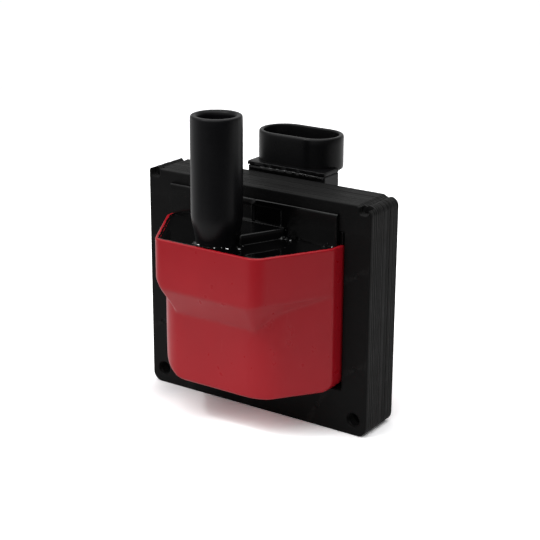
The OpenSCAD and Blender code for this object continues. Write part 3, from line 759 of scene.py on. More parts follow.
def cup():
    """The cup's skin, sampled from the CAD solid by rays, with its edges softened and its rim a little uneven."""
    bm = bmesh.new()
    bm.from_mesh(nodes["housing"].data)
    tree = BVHTree.FromBMesh(bm)
    n = 480
    ang = np.arange(n) * 2 * math.pi / n
    dirs = np.c_[np.cos(ang), np.sin(ang)]

    def cast(z, start, sign):
        out = np.full(n, np.nan)
        for i, d in enumerate(dirs):
            o = Vector(((CEN[0] + d[0] * start) * MM, (CEN[1] + d[1] * start) * MM, z * MM))
            hit = tree.ray_cast(o, Vector((sign * d[0], sign * d[1], 0.0)))
            if hit[0] is not None:
                out[i] = start + sign * hit[3] / MM
        return out

    dz = 0.4
    zs = np.concatenate([FLOOR + np.array([0.02, 0.08, 0.2, 0.38, 0.6, 0.85, 1.12]), np.arange(FLOOR + 1.5, RIM - 0.01, dz), [RIM - 0.02]])
    outer = np.array([cast(z, 60.0, -1) for z in zs])
    zi = np.concatenate([[IN_Z + 0.02, IN_Z + 0.3, IN_Z + 0.8, IN_Z + 1.5, IN_Z + 3], np.arange(20, RIM - 3, 2.0),
                         np.arange(RIM - 3, RIM - 0.01, 0.5), [RIM - 0.02]])
    inner = np.array([cast(z, 16.2, 1) for z in zi])
    for a in (outer, inner):
        for row in a:
            bad = np.isnan(row)
            if bad.any():
                row[bad] = np.interp(np.flatnonzero(bad), np.flatnonzero(~bad), row[~bad])
    bm.free()

    def soften(a, passes, rows=True):
        for _ in range(passes):
            a = a * 0.5 + (np.roll(a, 1, 1) + np.roll(a, -1, 1)) * 0.25
            if rows:
                up = np.vstack([a[1:], 2 * a[-1:] - a[-2:-1]])
                dn = np.vstack([2 * a[:1] - a[1:2], a[:-1]])
                a = a * 0.5 + (up + dn) * 0.25
        return a

    soft = soften(outer, 2)
    # the bottom rows keep their own rounding
    keep = np.clip((zs - FLOOR - 0.3) / 1.2, 0, 1)[:, None]
    outer = outer * (1 - keep) + soft * keep
    up = np.clip(1 - (zs - FLOOR) / BOTTOM_R, 0, 1)[:, None]
    outer = outer - BOTTOM_R * (1 - np.sqrt(1 - up * up))
    rim_noise = np.array([wob((math.cos(a) * 30, math.sin(a) * 30, 0), 1.3, 4.1) * 0.6
                          + wob((math.cos(a) * 30, math.sin(a) * 30, 0), 4.0, 1.7) * 0.4 for a in ang])
    b = Build()

    def ring(r, z):
        zz = np.broadcast_to(z, (n,))
        return [(CEN[0] + d[0] * q, CEN[1] + d[1] * q, h) for d, q, h in zip(dirs, r, zz)]

    # slow waviness of the moulded wall
    def wavy(r, z):
        return np.array([q + 0.035 * wob((d[0] * q, d[1] * q, z), 9.0, 7.3) - 0.035 for d, q in zip(dirs, r)])

    loops = [ring(outer[0] - 0.2, FLOOR)]
    for z, r in zip(zs, outer):
        if z < RIM - 0.55:
            loops.append(ring(wavy(r, z), z))
    top = wavy(outer[-1], RIM)
    loops += [ring(top, RIM - 0.5), ring(top + 0.0, RIM - 0.34), ring(top - 0.06 + 0.03 * rim_noise, RIM - 0.14),
              ring(top - 0.2 + 0.04 * rim_noise, RIM - 0.05 + 0.03 * np.minimum(rim_noise, 0)),
              ring(top - 0.42 + 0.04 * rim_noise, RIM + 0.05 * np.minimum(rim_noise, 0))]
    tin = inner[-1]
    loops += [ring(tin + 0.34 + 0.06 * rim_noise, RIM + 0.05 * np.minimum(rim_noise, 0)),
              ring(tin + 0.12 + 0.06 * rim_noise, RIM - 0.06), ring(tin + 0.02 + 0.03 * rim_noise, RIM - 0.22), ring(tin, RIM - 0.5)]
    for z, r in list(zip(zi, inner))[::-1]:
        if z < RIM - 0.6:
            loops.append(ring(r, z))
    b.loft(loops)
    # floor inside and under the cup, and the tube round the centre leg

    def rect(hx, hy, r, z, k=5):
        return rounded([[-hx, -hy], [hx, -hy], [hx, hy], [-hx, hy]], [r] * 4, k)

    t_out, t_in = rect(*TUN_OUT, 0.6, 0), rect(*TUN_IN, 0.15, 0)
    t_out2 = rect(TUN_OUT[0] - 0.25, TUN_OUT[1] - 0.25, 0.4, 0)
    t_in2 = rect(TUN_IN[0] + 0.2, TUN_IN[1] + 0.2, 0.35, 0)
    low = np.array([(p[0], p[1]) for p in loops[0]])
    v, f = fill(low, [t_in])
    b.cap(np.c_[v, np.full(len(v), FLOOR)], f, flat=True)
    up = np.array([(p[0], p[1]) for p in loops[-1]])
    v, f = fill(up, [t_out])
    b.cap(np.c_[v, np.full(len(v), zi[0])], f)
    zt = lambda lp, z: [(p[0], p[1], z) for p in lp]
    b.loft([zt(t_out, zi[0]), zt(t_out, TUN_TOP - 0.25), zt(t_out2, TUN_TOP), zt(t_in2, TUN_TOP),
            zt(t_in, TUN_TOP - 0.2), zt(t_in, FLOOR)])
    return b.make("cup_moulding", M_RED, sharp=60.0)


stand_for(cup(), "housing", "housing")


# ------------------------------------------------------------------ tower

t_lo, t_hi = box("hv_tower")
TX, TY = (t_lo[0] + t_hi[0]) / 2, (t_lo[1] + t_hi[1]) / 2
TR, TTOP, TBOT = (t_hi[0] - t_lo[0]) / 2, t_hi[2], t_lo[2]
SEAT, BORE = 64.0, 5.2
FOOT_R = 5.9


def tower():
    prof = [(1.6, TBOT), (FOOT_R - 0.3, TBOT), (FOOT_R, TBOT + 0.3), (FOOT_R, 54.5), (FOOT_R + 0.07, 55.4), (FOOT_R + 0.2, 56.4),
            (FOOT_R + 0.38, 57.4), (FOOT_R + 0.62, 58.6), (FOOT_R + 0.84, 59.6), (TR - 0.26, 60.6), (TR - 0.13, 61.6),
            (TR - 0.04, 62.4), (TR, 63.2)]
    prof += [(TR, z) for z in np.arange(64.6, TTOP - 2.0, 1.6)]
    prof += [(TR, TTOP - 1.7), (TR - 0.02, TTOP - 1.2), (TR - 0.04, TTOP - 0.75)]
    prof += [(TR - 0.6 + 0.56 * math.cos(a), TTOP - 0.6 + 0.6 * math.sin(a)) for a in np.linspace(0.15, math.pi / 2, 7)]
    prof += [(BORE + 0.72, TTOP), (BORE + 0.6, TTOP - 0.05), (BORE + 0.2, TTOP - 0.42), (BORE, TTOP - 0.72), (BORE, TTOP - 1.5)]
    prof += [(BORE, z) for z in np.arange(TTOP - 3, SEAT + 1, -2.0)]
    prof += [(BORE, SEAT + 0.5), (BORE - 0.1, SEAT + 0.2), (BORE - 0.4, SEAT), (1.6, SEAT)]
    n = 128
    b = Build()
    loops = []
    for r, z in prof:
        lp = []
        for i in range(n):
            a = 2 * math.pi * i / n
            q = r
            if r > BORE + 0.5:
                # parting line of the mould on both sides, and slow out-of-round
                for pa in (0.0, math.pi):
                    da = (a - pa + math.pi) % (2 * math.pi) - math.pi
                    q += -0.02 + 0.05 * math.exp(-(da / 0.03) ** 2) if abs(da) < 0.2 else 0.0
                q = min(q, TR) - 0.015 - 0.015 * wob((q * math.cos(a), q * math.sin(a), z), 6.0, 2.2)
            zz = z
            if z > TTOP - 0.1:
                zz = z + 0.05 * min(0.0, wob((r * math.cos(a), r * math.sin(a), 3.0), 1.4, 9.1))
            lp.append((TX + q * math.cos(a), TY + q * math.sin(a), zz))
        loops.append(lp)
    ids = b.loft(loops)
    b.strip(ids[-1], ids[0])
    return b.make("tower_moulding", M_TOWER, sharp=48.0)


stand_for(tower(), "hv_tower", "hv_tower")

c_lo, c_hi = box("hv_terminal")


def terminal_post():
    """Turned brass post with a grooved collar and a domed tip."""
    z0, z1 = c_lo[2], c_hi[2]
    prof = [(0, z0), (1.3, z0), (1.58, z0 + 0.25), (1.58, SEAT - 0.02), (2.9, SEAT + 0.01), (3.08, SEAT + 0.18), (3.08, SEAT + 0.95),
            (2.7, SEAT + 1.35), (2.15, SEAT + 1.5), (2.0, SEAT + 1.7)]
    for k in range(3):
        z = SEAT + 3.0 + k * 1.5
        prof += [(2.0, z - 0.2), (1.88, z - 0.05), (1.88, z + 0.05), (2.0, z + 0.2)]
    prof += [(2.0, z1 - 1.6), (1.9, z1 - 1.1), (1.65, z1 - 0.6), (1.25, z1 - 0.2), (0.7, z1 - 0.04), (0, z1)]
    n = 64
    b = Build()
    loops = [[(TX + r * math.cos(2 * math.pi * i / n), TY + r * math.sin(2 * math.pi * i / n), z) for i in range(n)]
             for r, z in prof[1:-1]]
    ids = b.loft(loops)
    for (r, z), lp in ((prof[0], ids[0]), (prof[-1], ids[-1])):
        c = b.add([(TX, TY, z)])[0]
        for i in range(n):
            b.f.append((c, lp[i], lp[(i + 1) % n]))
    return b.make("terminal_post", M_BRASS, sharp=50.0)


stand_for(terminal_post(), "hv_terminal", "hv_terminal")


# ------------------------------------------------------------------ tower base and resin

b_lo, b_hi = box("tower_base")
PLATEAU = b_hi[2]
s_lo, s_hi = box("core_shield")
SH_Y = s_lo[1]
base_poly = rounded([[-10.9, SH_Y - 0.55], [11.7, SH_Y - 0.55], [TX + 7.6, TY + 0.6], [TX - 7.6, TY + 0.6]],
                    [0.4, 0.4, 0.6, 0.6], 6)


def plateau():
    """Black plastic block under the tower, its edges rounded and drowned in resin."""
    b = Build()
    out = resample(base_poly, 0.5)
    R = 0.5
    loops = [[(x, y, b_lo[2]) for x, y in inset(out, 0.1)]]
    loops += [[(x, y, z) for x, y in out] for z in (b_lo[2] + 0.2, 54.0, 54.8, 55.6, 56.3)]
    for a in np.linspace(0.25, math.pi / 2, 5):
        d = R * (1 - math.cos(a))
        loops.append([(x, y, PLATEAU - R + R * math.sin(a) * 0.97) for x, y in inset(out, d)])
    b.loft(loops)
    top = np.array([(p[0], p[1]) for p in loops[-1]])
    gx, gy = np.meshgrid(np.arange(-11, 11.2, 0.6), np.arange(TY - 1, SH_Y, 0.6))
    pts = np.c_[gx.ravel(), gy.ravel()]
    pts = pts[inside(pts, top)]
    pts = pts[distance(pts, top) > 0.25]
    v, f = fill(top, (), pts)
    d = distance(v, top)
    z0 = loops[-1][0][2]
    z = z0 + np.minimum(0.03, d * 0.03)
    z = z + np.array([0.02 * wob((x, y, 0), 2.6, 3.0) - 0.02 for x, y in v]) * np.clip(d / 0.6, 0, 1)
    b.cap(np.c_[v, np.minimum(z, PLATEAU)], f)
    low = np.array([(p[0], p[1]) for p in loops[0]])
    v, f = fill(low)
    b.cap(np.c_[v, np.full(len(v), b_lo[2])], f)
    return b.make("tower_base_moulding", M_WET, sharp=50.0)


stand_for(plateau(), "tower_base", "tower_base")
stand_for(rbox("tower_base_lip", M_WET, (-10.4, SH_Y - 0.75, TUN_TOP + 0.05), (11.2, SH_Y - 0.02, PLATEAU - 0.02), 0.15), "tower_base")

p_lo, p_hi = box("potting_epoxy")
RESIN = p_hi[2]


def resin_skin():
    """The resin's surface: a film over the cast block that climbs every wall it wets."""
    strip_x, strip_y, hw = 28.8, FACE + 3.6, 29.1
    plan = rounded([[-17, h_lo[1]], [17, h_lo[1]], [strip_x, -strip_y], [hw, -FACE], [hw, strip_y], [19.2, h_hi[1]],
                    [-19.2, h_hi[1]], [-hw, strip_y], [-hw, -FACE], [-strip_x, -strip_y]],
                   [3, 5.5, 0.5, 0, 3, 5, 5, 3, 0, 0.5], 8)
    wall = resample(inset(plan, WALL - 0.12), 0.5)
    tower_c = resample(circle(TX, TY, FOOT_R - 0.1, 72), 0.5)
    base = resample(inset(base_poly, 0.1), 0.5)
    foot = resample(np.array([[-27.3, SH_Y + 0.1], [27.3, SH_Y + 0.1], [27.3, -FACE], [-27.3, -FACE]]), 0.5)
    tube = resample(rounded([[-9.6, -9.05], [9.6, -9.05], [9.6, 9.05], [-9.6, 9.05]], [0.5] * 4, 4), 0.5)
    n_lo, n_hi = box("connector_body")
    neck = resample(np.array([[-12.75, FACE + 0.1], [13.55, FACE + 0.1], [13.55, FACE + 7.8], [-12.75, FACE + 7.8]]), 0.5)
    # the base, the tower, the shield's foot, the tube and the neck go in as rings, and grid points close to them are
    # left out
    solids = [tower_c, base, foot, tube, neck]
    g = 0.5
    gx, gy = np.meshgrid(np.arange(-29, 29.1, g), np.arange(-32, 25, g))
    pts = np.c_[gx.ravel(), gy.ravel()]
    rnd = np.random.RandomState(3)
    pts = pts + rnd.uniform(-0.06, 0.06, pts.shape)
    ok = inside(pts, wall) & (distance(pts, wall) > 0.25)
    for s in solids:
        ok &= distance(pts, s) > 0.2
    pts = pts[ok]
    extra = []
    for lp, ds in ((wall, (0.3, 0.62, 1.0)), (tower_c, (-0.25, -0.55, -0.95)), (base, (-0.25, -0.55, -0.95))):
        for d in ds:
            extra.append(inset(lp, d))
    extra = np.vstack(extra)
    extra = extra[inside(extra, wall)]
    allp = np.vstack([pts, extra])
    v, f = fill(wall, (), allp, solids)

    def level(v):
        dw = distance(v, wall)
        z = RESIN + 0.05 + 0.3 * np.exp(-dw / 0.5)
        for s, hgt, w in ((tower_c, 0.3, 0.35), (base, 0.3, 0.35), (foot, 0.25, 0.35), (tube, 0.3, 0.5), (neck, 0.3, 0.5)):
            d = np.where(inside(v, s), 0.0, distance(v, s))
            z = np.maximum(z, RESIN + 0.05 + hgt * np.exp(-d / w)) + 0.12 * hgt * np.exp(-d / (2.2 * w))
        z = z + np.array([0.03 * wob((x, y, 0), 6.0, 1.0) + 0.006 * wob((x, y, 0), 1.9, 5.0) for x, y in v])
        # thick drops where the resin ran along the end of the base and in the front corner
        for x, y, h, w in ((11.0, -9.7, 1.0, 0.3), (11.25, -10.5, 0.6, 0.28), (11.7, -9.3, 0.4, 0.35),
                           (6.3, -22.3, 0.5, 0.3), (6.9, -23.4, 0.25, 0.35), (-4.0, -29.3, 0.3, 0.4), (1.6, -29.2, 0.3, 0.4),
                           (-6.2, -27.3, 0.5, 0.3), (-3.2, -29.0, 0.6, 0.26), (0.6, -28.8, 0.7, 0.25), (2.9, -27.2, 0.8, 0.3),
                           (4.2, -25.6, 0.6, 0.3), (5.4, -24.0, 0.7, 0.26), (12.4, -9.9, 0.9, 0.3), (16.0, -9.6, 0.4, 0.35),
                           (24.5, -9.6, 0.7, 0.3), (-14.5, -9.8, 0.8, 0.4), (-12.2, -10.2, 0.5, 0.5)):
            z = z + h * np.exp(-((v[:, 0] - x) ** 2 + (v[:, 1] - y) ** 2) / (2 * w * w))
        cap = np.where(dw < 0.6, RIM - 0.12, 99.0)
        return np.clip(z, RESIN + 0.02, cap)

    z = level(v)
    b = Build()
    b.cap(np.c_[v, z], f)
    zl = RESIN - 0.5
    edge = np.array([tuple(p) for p in wall])
    ez = level(edge)
    b.loft([[(x, y, q) for (x, y), q in zip(edge, ez)], [(x, y, zl) for x, y in edge]])
    v2, f2 = fill(edge)
    b.cap(np.c_[v2, np.full(len(v2), zl)], f2)
    return b.make("resin_surface", M_RESIN, sharp=70.0)


stand_for(resin_skin(), "potting_epoxy")


def rim_film():
    """Resin that crept over the inner half of the rim, its edge ragged."""
    strip_x, strip_y, hw = 28.8, FACE + 3.6, 29.1
    plan = resample(rounded([[-17, h_lo[1]], [17, h_lo[1]], [strip_x, -strip_y], [hw, -FACE - 0.1], [hw, FACE + 0.1], [hw, strip_y],
                             [19.2, h_hi[1]], [-19.2, h_hi[1]], [-hw, strip_y], [-hw, FACE + 0.1], [-hw, -FACE - 0.1],
                             [-strip_x, -strip_y]], [3, 5.5, 0.5, 0, 0, 3, 5, 5, 3, 0, 0, 0.5], 8), 0.3)
    far, near = np.array(inset(plan, 0.5)), np.array(inset(plan, 1.15))
    deep = np.array(inset(plan, WALL + 0.05))
    b = Build()
    t = np.array([np.clip(0.5 + 0.4 * wob((x, y, 1.0), 1.6, 8.0) + 0.3 * wob((x, y, 2.0), 0.6, 3.0), 0.05, 1.0) for x, y in far])[:, None]
    edge = near * (1 - t) + far * t
    bump = np.array([0.05 + 0.02 * wob((x, y, 4.0), 0.9, 5.0) for x, y in far])
    mid = edge * 0.72 + deep * 0.28
    inn = edge * 0.3 + deep * 0.7
    zs = [np.full(len(far), RIM - 0.12), np.full(len(far), RIM + 0.015), RIM + bump, RIM + bump * 0.7, np.full(len(far), RIM - 0.35)]
    rows = [b.add([(x, y, z) for (x, y), z in zip(p, q)]) for p, q in zip((edge, edge, mid, inn, deep), zs)]
    for a, c in zip(rows, rows[1:]):
        b.strip(a, c)
    b.strip(rows[-1], rows[0])
    return b.make("resin_on_rim", M_RESIN, sharp=70.0)


stand_for(rim_film(), "potting_epoxy")


def resin_drops():
    """Set drops and short strings of resin round the tower's foot and the tower base."""
    b = Build()
    face_n = Vector((0.14, -0.736, 0.662)).normalized()
    e1 = (Vector((1, 0, 0)) - face_n * face_n.x).normalized()
    e2 = face_n.cross(e1)
    rnd = np.random.RandomState(12)
    top = RESIN + 0.35
    for x, y, z, r, k in ((1.2, -28.5, top, 0.3, 1.3), (7.3, -25.4, top + 0.05, 0.36, 1.5), (4.5, -27.0, top, 0.16, 3.0),
                          (-4.3, -28.5, top, 0.18, 3.2), (-6.4, -27.4, top, 0.14, 2.0), (14.0, -10.4, top - 0.05, 0.3, 1.3),
                          (11.75, -9.45, PLATEAU - 0.5, 0.16, 1.0), (10.2, -9.0, PLATEAU + 0.0, 0.2, 1.7),
                          (6.0, -21.9, PLATEAU - 0.3, 0.16, 1.2), (26.8, -9.0, top - 0.05, 0.24, 1.2),
                          (-14.5, -9.4, top, 0.16, 2.5)):
        c = Vector((x, y, z))
        p1, p2 = rnd.uniform(0, 6.28, 2)
        rows = []
        for s, h in ((0.5, -0.42), (0.9, -0.24), (1.0, -0.11), (0.93, None), (0.65, None), (0.32, None)):
            h = (1 - s * s) * r * r / 4.0 if h is None else h
            lp = []
            for i in range(24):
                a = 2 * math.pi * i / 24
                q = s * r * (1 + 0.14 * math.sin(2 * a + p1) + 0.09 * math.sin(3 * a + p2))
                lp.append(tuple(c + e1 * (q * k * math.cos(a)) + e2 * (q * math.sin(a)) + face_n * h))
            rows.append(lp)
        ids = b.loft(rows)
        for lp, h in ((ids[0], -0.55), (ids[-1], r * r / 4.0)):
            m = b.add([tuple(c + face_n * h)])[0]
            for i in range(24):
                b.f.append((m, lp[i], lp[(i + 1) % 24]))
    return b.make("resin_drops", M_RESIN, sharp=70.0)


stand_for(resin_drops(), "potting_epoxy")


# ------------------------------------------------------------------ shield

def shield():
    """Thin plate in front of the top bar, sampled from the CAD solid, its edges rounded and wetted with resin."""
    bm = bmesh.new()
    bm.from_mesh(nodes["core_shield"].data)
    tree = BVHTree.FromBMesh(bm)
    g = 0.25
    x0, x1 = s_lo[0], s_hi[0]
    z0, z1 = s_lo[2] + 0.01, s_hi[2]
    xs = np.arange(x0, x1 + 0.01, g)
    zs = np.arange(z0, z1 + 0.01, g)
    zs[-1] = z1
    yb = -FACE
    Y = np.full((len(zs), len(xs)), np.nan)
    for j, z in enumerate(zs):
        for i, x in enumerate(xs):
            xx = min(max(x, x0 + 0.01), x1 - 0.01)
            zz = min(max(z, z0), z1 - 0.01)
            hit = tree.ray_cast(Vector((xx * MM, -0.03, zz * MM)), Vector((0, 1, 0)))
            if hit[0] is not None and hit[0].y / MM < yb + 0.01:
                Y[j, i] = hit[0].y / MM
    bm.free()
    hole = np.isnan(Y)
    Y[hole] = SH_Y
    d = np.minimum(np.broadcast_to((x1 - xs)[None, :], Y.shape), (z1 - zs)[:, None])
    for _ in range(1):
        P = np.pad(Y, 1, mode="edge")
        Y = 0.4 * Y + 0.15 * (P[:-2, 1:-1] + P[2:, 1:-1] + P[1:-1, :-2] + P[1:-1, 2:])
    R = 0.3
    dd = np.clip(d, 0, R)
    Y = Y + R - np.sqrt(np.maximum(R * R - (R - dd) ** 2, 0))
    Y = np.minimum(Y, yb - 0.12)
    for j, z in enumerate(zs):
        for i, x in enumerate(xs):
            Y[j, i] += 0.02 * wob((x, 0, z), 4.0, 6.0) + 0.003 * wob((x, 0, z), 1.2, 2.0)
            # strings and drops of resin by the tower and along the top edge
            for cx, cz, h, w in ((1.2, 63.6, 0.2, 0.5), (2.6, 62.9, 0.12, 0.5), (0.2, 62.2, 0.12, 0.6)):
                q = (x - cx) ** 2 + (z - cz) ** 2
                if q < 9 * w * w:
                    Y[j, i] -= h * math.exp(-q / (2 * w * w))
    Y = np.clip(Y, SH_Y - 0.5, yb - 0.1)
    b = Build()
    rows = [b.add([(x, Y[j, i], z) for i, x in enumerate(xs)]) for j, z in enumerate(zs)]
    for a, c in zip(rows, rows[1:]):
        b.strip(a, c, closed=False)
    back = [b.add([(x, yb, z) for x in xs]) for z in (zs[0], zs[-1])]
    b.strip(back[0], back[1], closed=False)
    b.strip(rows[0], back[0], closed=False)
    b.strip(rows[-1], back[1], closed=False)
    left = [r[0] for r in rows]
    right = [r[-1] for r in rows]
    b.f.append(tuple(left + [back[1][0], back[0][0]]))
    b.f.append(tuple(right + [back[1][-1], back[0][-1]]))
    return b.make("shield_plate", M_WET, sharp=60.0)


stand_for(shield(), "core_shield", "core_shield")
for s, nm in ((-1, "left"), (1, "right")):
    a, c = sorted((s * 9.95, s * 27.3))
    stand_for(rbox("shield_tongue_" + nm, M_WET, (a, -FACE - 0.2, 55.5), (c, FACE - 0.15, 56.7), 0.3), "core_shield")
    # upright end that closes the window beside the plate
    a, c = sorted((s * 27.0, s * 29.15))
    stand_for(rbox("shield_end_" + nm, M_WET, (a, -FACE + 0.3, 55.42), (c, -FACE + 3.0, 59.3), 0.3), "core_shield")


# ------------------------------------------------------------------ connector

k_lo, k_hi = box("connector_body")
NX0, NX1 = -12.85, 13.65
FL0, FL1 = 69.05, 70.25
NECK_T = 7.9
SX, SY = -0.4, FACE + 9.3
SL, SW, SWALL, STOP = 26.7, 15.4, 1.4, k_hi[2]


def stadium(hl, hw, n=18):
    """Oval with straight long sides: half length hl, half width hw."""
    a = np.linspace(-math.pi / 2, math.pi / 2, n + 1)
    right = np.c_[hl - hw + hw * np.cos(a), hw * np.sin(a)]
    left = -right
    side = lambda p, q: p + (q - p) * np.linspace(0, 1, 9)[1:-1, None]
    lp = np.vstack([right, side(right[-1], left[0]), left, side(left[-1], right[0])])
    return lp + np.array([SX, SY])


def shroud():
    b = Build()
    hl, hw = SL / 2, SW / 2
    o = lambda d, z: [(x, y, z) for x, y in stadium(hl - d, hw - d)]
    w = SWALL
    z_out = list(np.arange(FL0 + 0.6, STOP - 1.0, 1.2))
    loops = [o(0.6, FL0), o(0.2, FL0 + 0.06), o(0.05, FL0 + 0.25)] + [o(0.0, z) for z in z_out]
    loops += [o(0.0, STOP - 0.62), o(0.06, STOP - 0.4), o(0.2, STOP - 0.16), o(0.38, STOP - 0.03), o(0.5, STOP),
              o(w - 0.4, STOP), o(w - 0.18, STOP - 0.06), o(w - 0.04, STOP - 0.2), o(w, STOP - 0.45)]
    loops += [o(w + 0.03 * t, STOP - 0.45 - t) for t in (1.5, 3.5, 5.5, 7.0)]
    loops += [o(w + 0.3, FL1 + 0.35), o(w + 0.6, FL1 + 0.08), o(w + 1.0, FL1)]
    b.loft(loops)
    v, f = fill(np.array([(p[0], p[1]) for p in loops[-1]]))
    b.cap(np.c_[v, np.full(len(v), FL1)], f)
    v, f = fill(np.array([(p[0], p[1]) for p in loops[0]]))
    b.cap(np.c_[v, np.full(len(v), FL0)], f)
    return b.make("connector_shroud", M_CONN, sharp=55.0)


stand_for(shroud(), "connector_body", "connector_body")


def neck_skin(p, n):
    return n * (0.03 * wob(p, 5.0, 8.0) - 0.03)


def flange_skin(p, n):
    """The flange's front is uneven where the resin crept up and set."""
    k = max(0.0, min(1.0, (FACE + 1.2 - p[1]) / 1.2))
    return n * (k * (0.16 * wob(p, 1.6, 3.0) + 0.1 * wob(p, 0.7, 1.0)) - 0.1 * k - 0.02)


stand_for(rbox("connector_neck", M_CONN, (NX0, FACE + 0.02, 57.4), (NX1, FACE + NECK_T, FL0 + 0.02), 0.45, cuts=24, shift=neck_skin),
          "connector_body")
for s, nm in ((-1, "left"), (1, "right")):
    a, c = (NX0, -9.8) if s < 0 else (9.8, NX1)
    stand_for(rbox("connector_root_" + nm, M_CONN, (a, FACE + 0.02, 53.6), (c, FACE + NECK_T, 57.6), 0.4), "connector_body")
stand_for(rbox("connector_root_rear", M_CONN, (-9.95, FACE + 1.85, 53.6), (9.95, FACE + NECK_T - 0.02, 57.6), 0.3), "connector_body")
stand_for(rbox("connector_flange", M_CONN, (NX0 - 0.3, FACE - 0.13, FL0), (NX1, FACE + NECK_T, FL1), 0.3, cuts=70, shift=flange_skin),
          "connector_body")


def bead():
    """Lumpy squeeze-out of resin under the front edge of the flange."""
    b = Build()
    loops = []
    k, n = 110, 14
    for j in range(k + 1):
        x = NX0 + 0.4 + (NX1 - NX0 - 0.8) * j / k
        e = math.sin(math.pi * j / k) ** 0.25
        q = 0.16 * wob((x, 0, 0), 1.5, 2.0) + 0.1 * wob((x, 0, 0), 0.6, 4.0)
        cy = FACE + 0.1 + 0.12 * wob((x, 5, 0), 2.0, 1.0)
        cz = TOP_Z + 0.85 + 0.12 * wob((x, 9, 0), 1.8, 1.0)
        loops.append([(x, cy + (0.42 + q) * e * math.cos(2 * math.pi * i / n) + 0.1 * wob((x, math.cos(i), math.sin(i)), 0.8, 6.0),
                       cz + (0.85 + 0.3 * q) * e * math.sin(2 * math.pi * i / n)) for i in range(n)])
    ids = b.loft(loops)
    for lp, x in ((ids[0], loops[0]), (ids[-1], loops[-1])):
        c = b.add([np.mean(x, 0)])[0]
        for i in range(n):
            b.f.append((c, lp[i], lp[(i + 1) % n]))
    return b.make("flange_resin_bead", M_WET, sharp=60.0)


stand_for(bead(), "potting_epoxy")


def gusset(s, name):
    x = 0.4 + s * 9
    pts = np.array([(FACE + NECK_T - 0.2, 61.0), (FACE + NECK_T - 0.2, FL0 + 0.1), (SY + SW / 2 - 2.5, FL0 + 0.1)])
    out = rounded([tuple(p) for p in pts], [0.0, 0.0, 0.3], 4)
    b = Build()
    loops = []
    for dx, d in ((-0.8, 0.18), (-0.74, 0.05), (-0.6, 0.0), (0.6, 0.0), (0.74, 0.05), (0.8, 0.18)):
        loops.append([(x + dx, y, z) for y, z in inset(out, d)])
    b.loft(loops)
    for lp in (loops[0], loops[-1]):
        v, f = fill(np.array([(p[1], p[2]) for p in lp]))
        b.cap(np.c_[np.full(len(v), lp[0][0]), v], f)
    stand_for(b.make(name, M_CONN, sharp=50.0), "connector_body")


gusset(-1, "connector_gusset_left")
gusset(1, "connector_gusset_right")


def latch():
    """Ramp that the plug's latch snaps over."""
    y0 = SY + SW / 2
    out = rounded([(y0 - 0.25, 72.6), (y0 + 1.3, 74.4), (y0 + 1.3, 75.0), (y0 - 0.25, 75.0)], [0, 0.25, 0.2, 0], 4)
    b = Build()
    loops = []
    for x, d in ((-3.0, 0.2), (-2.94, 0.06), (-2.8, 0.0), (2.8, 0.0), (2.94, 0.06), (3.0, 0.2)):
        loops.append([(SX + x, y, z) for y, z in inset(out, d)])
    b.loft(loops)
    for lp in (loops[0], loops[-1]):
        v, f = fill(np.array([(p[1], p[2]) for p in lp]))
        b.cap(np.c_[np.full(len(v), lp[0][0]), v], f)
    stand_for(b.make("connector_latch_ramp", M_CONN, sharp=50.0), "connector_body")


latch()


def blade(node, name):
    """Tinned blade terminal with coined edges."""
    ob = bevelled(node, name, M_TIN, 0.12, 2, angle=30.0)
    stand_for(ob, node, node)


for n_, nm in (("terminal_a", "blade_a"), ("terminal_b", "blade_b"), ("terminal_c", "blade_c")):
    blade(n_, nm)


# ------------------------------------------------------------------ inner pieces carried over from the CAD

INNER = {
    "potting_epoxy": M_RESIN, "core_gap_shim": M_SHIM, "hv_lead": M_COPPER,
    "primary_bobbin": M_NYLON_P, "primary_winding": M_PRI, "primary_wrap": M_TAPE_P,
    "secondary_bobbin": M_NYLON_S, "secondary_winding": M_SEC, "secondary_wrap": M_TAPE_S,
    "primary_lead_start": M_COPPER, "primary_lead_finish": M_COPPER, "secondary_ground_lead": M_COPPER,
}
for node, mat in INNER.items():
    me = nodes[node].data
    for i in range(len(me.materials)):
        me.materials[i] = mat
    if not len(me.materials):
        me.materials.append(mat)


# ------------------------------------------------------------------ floor, light and world

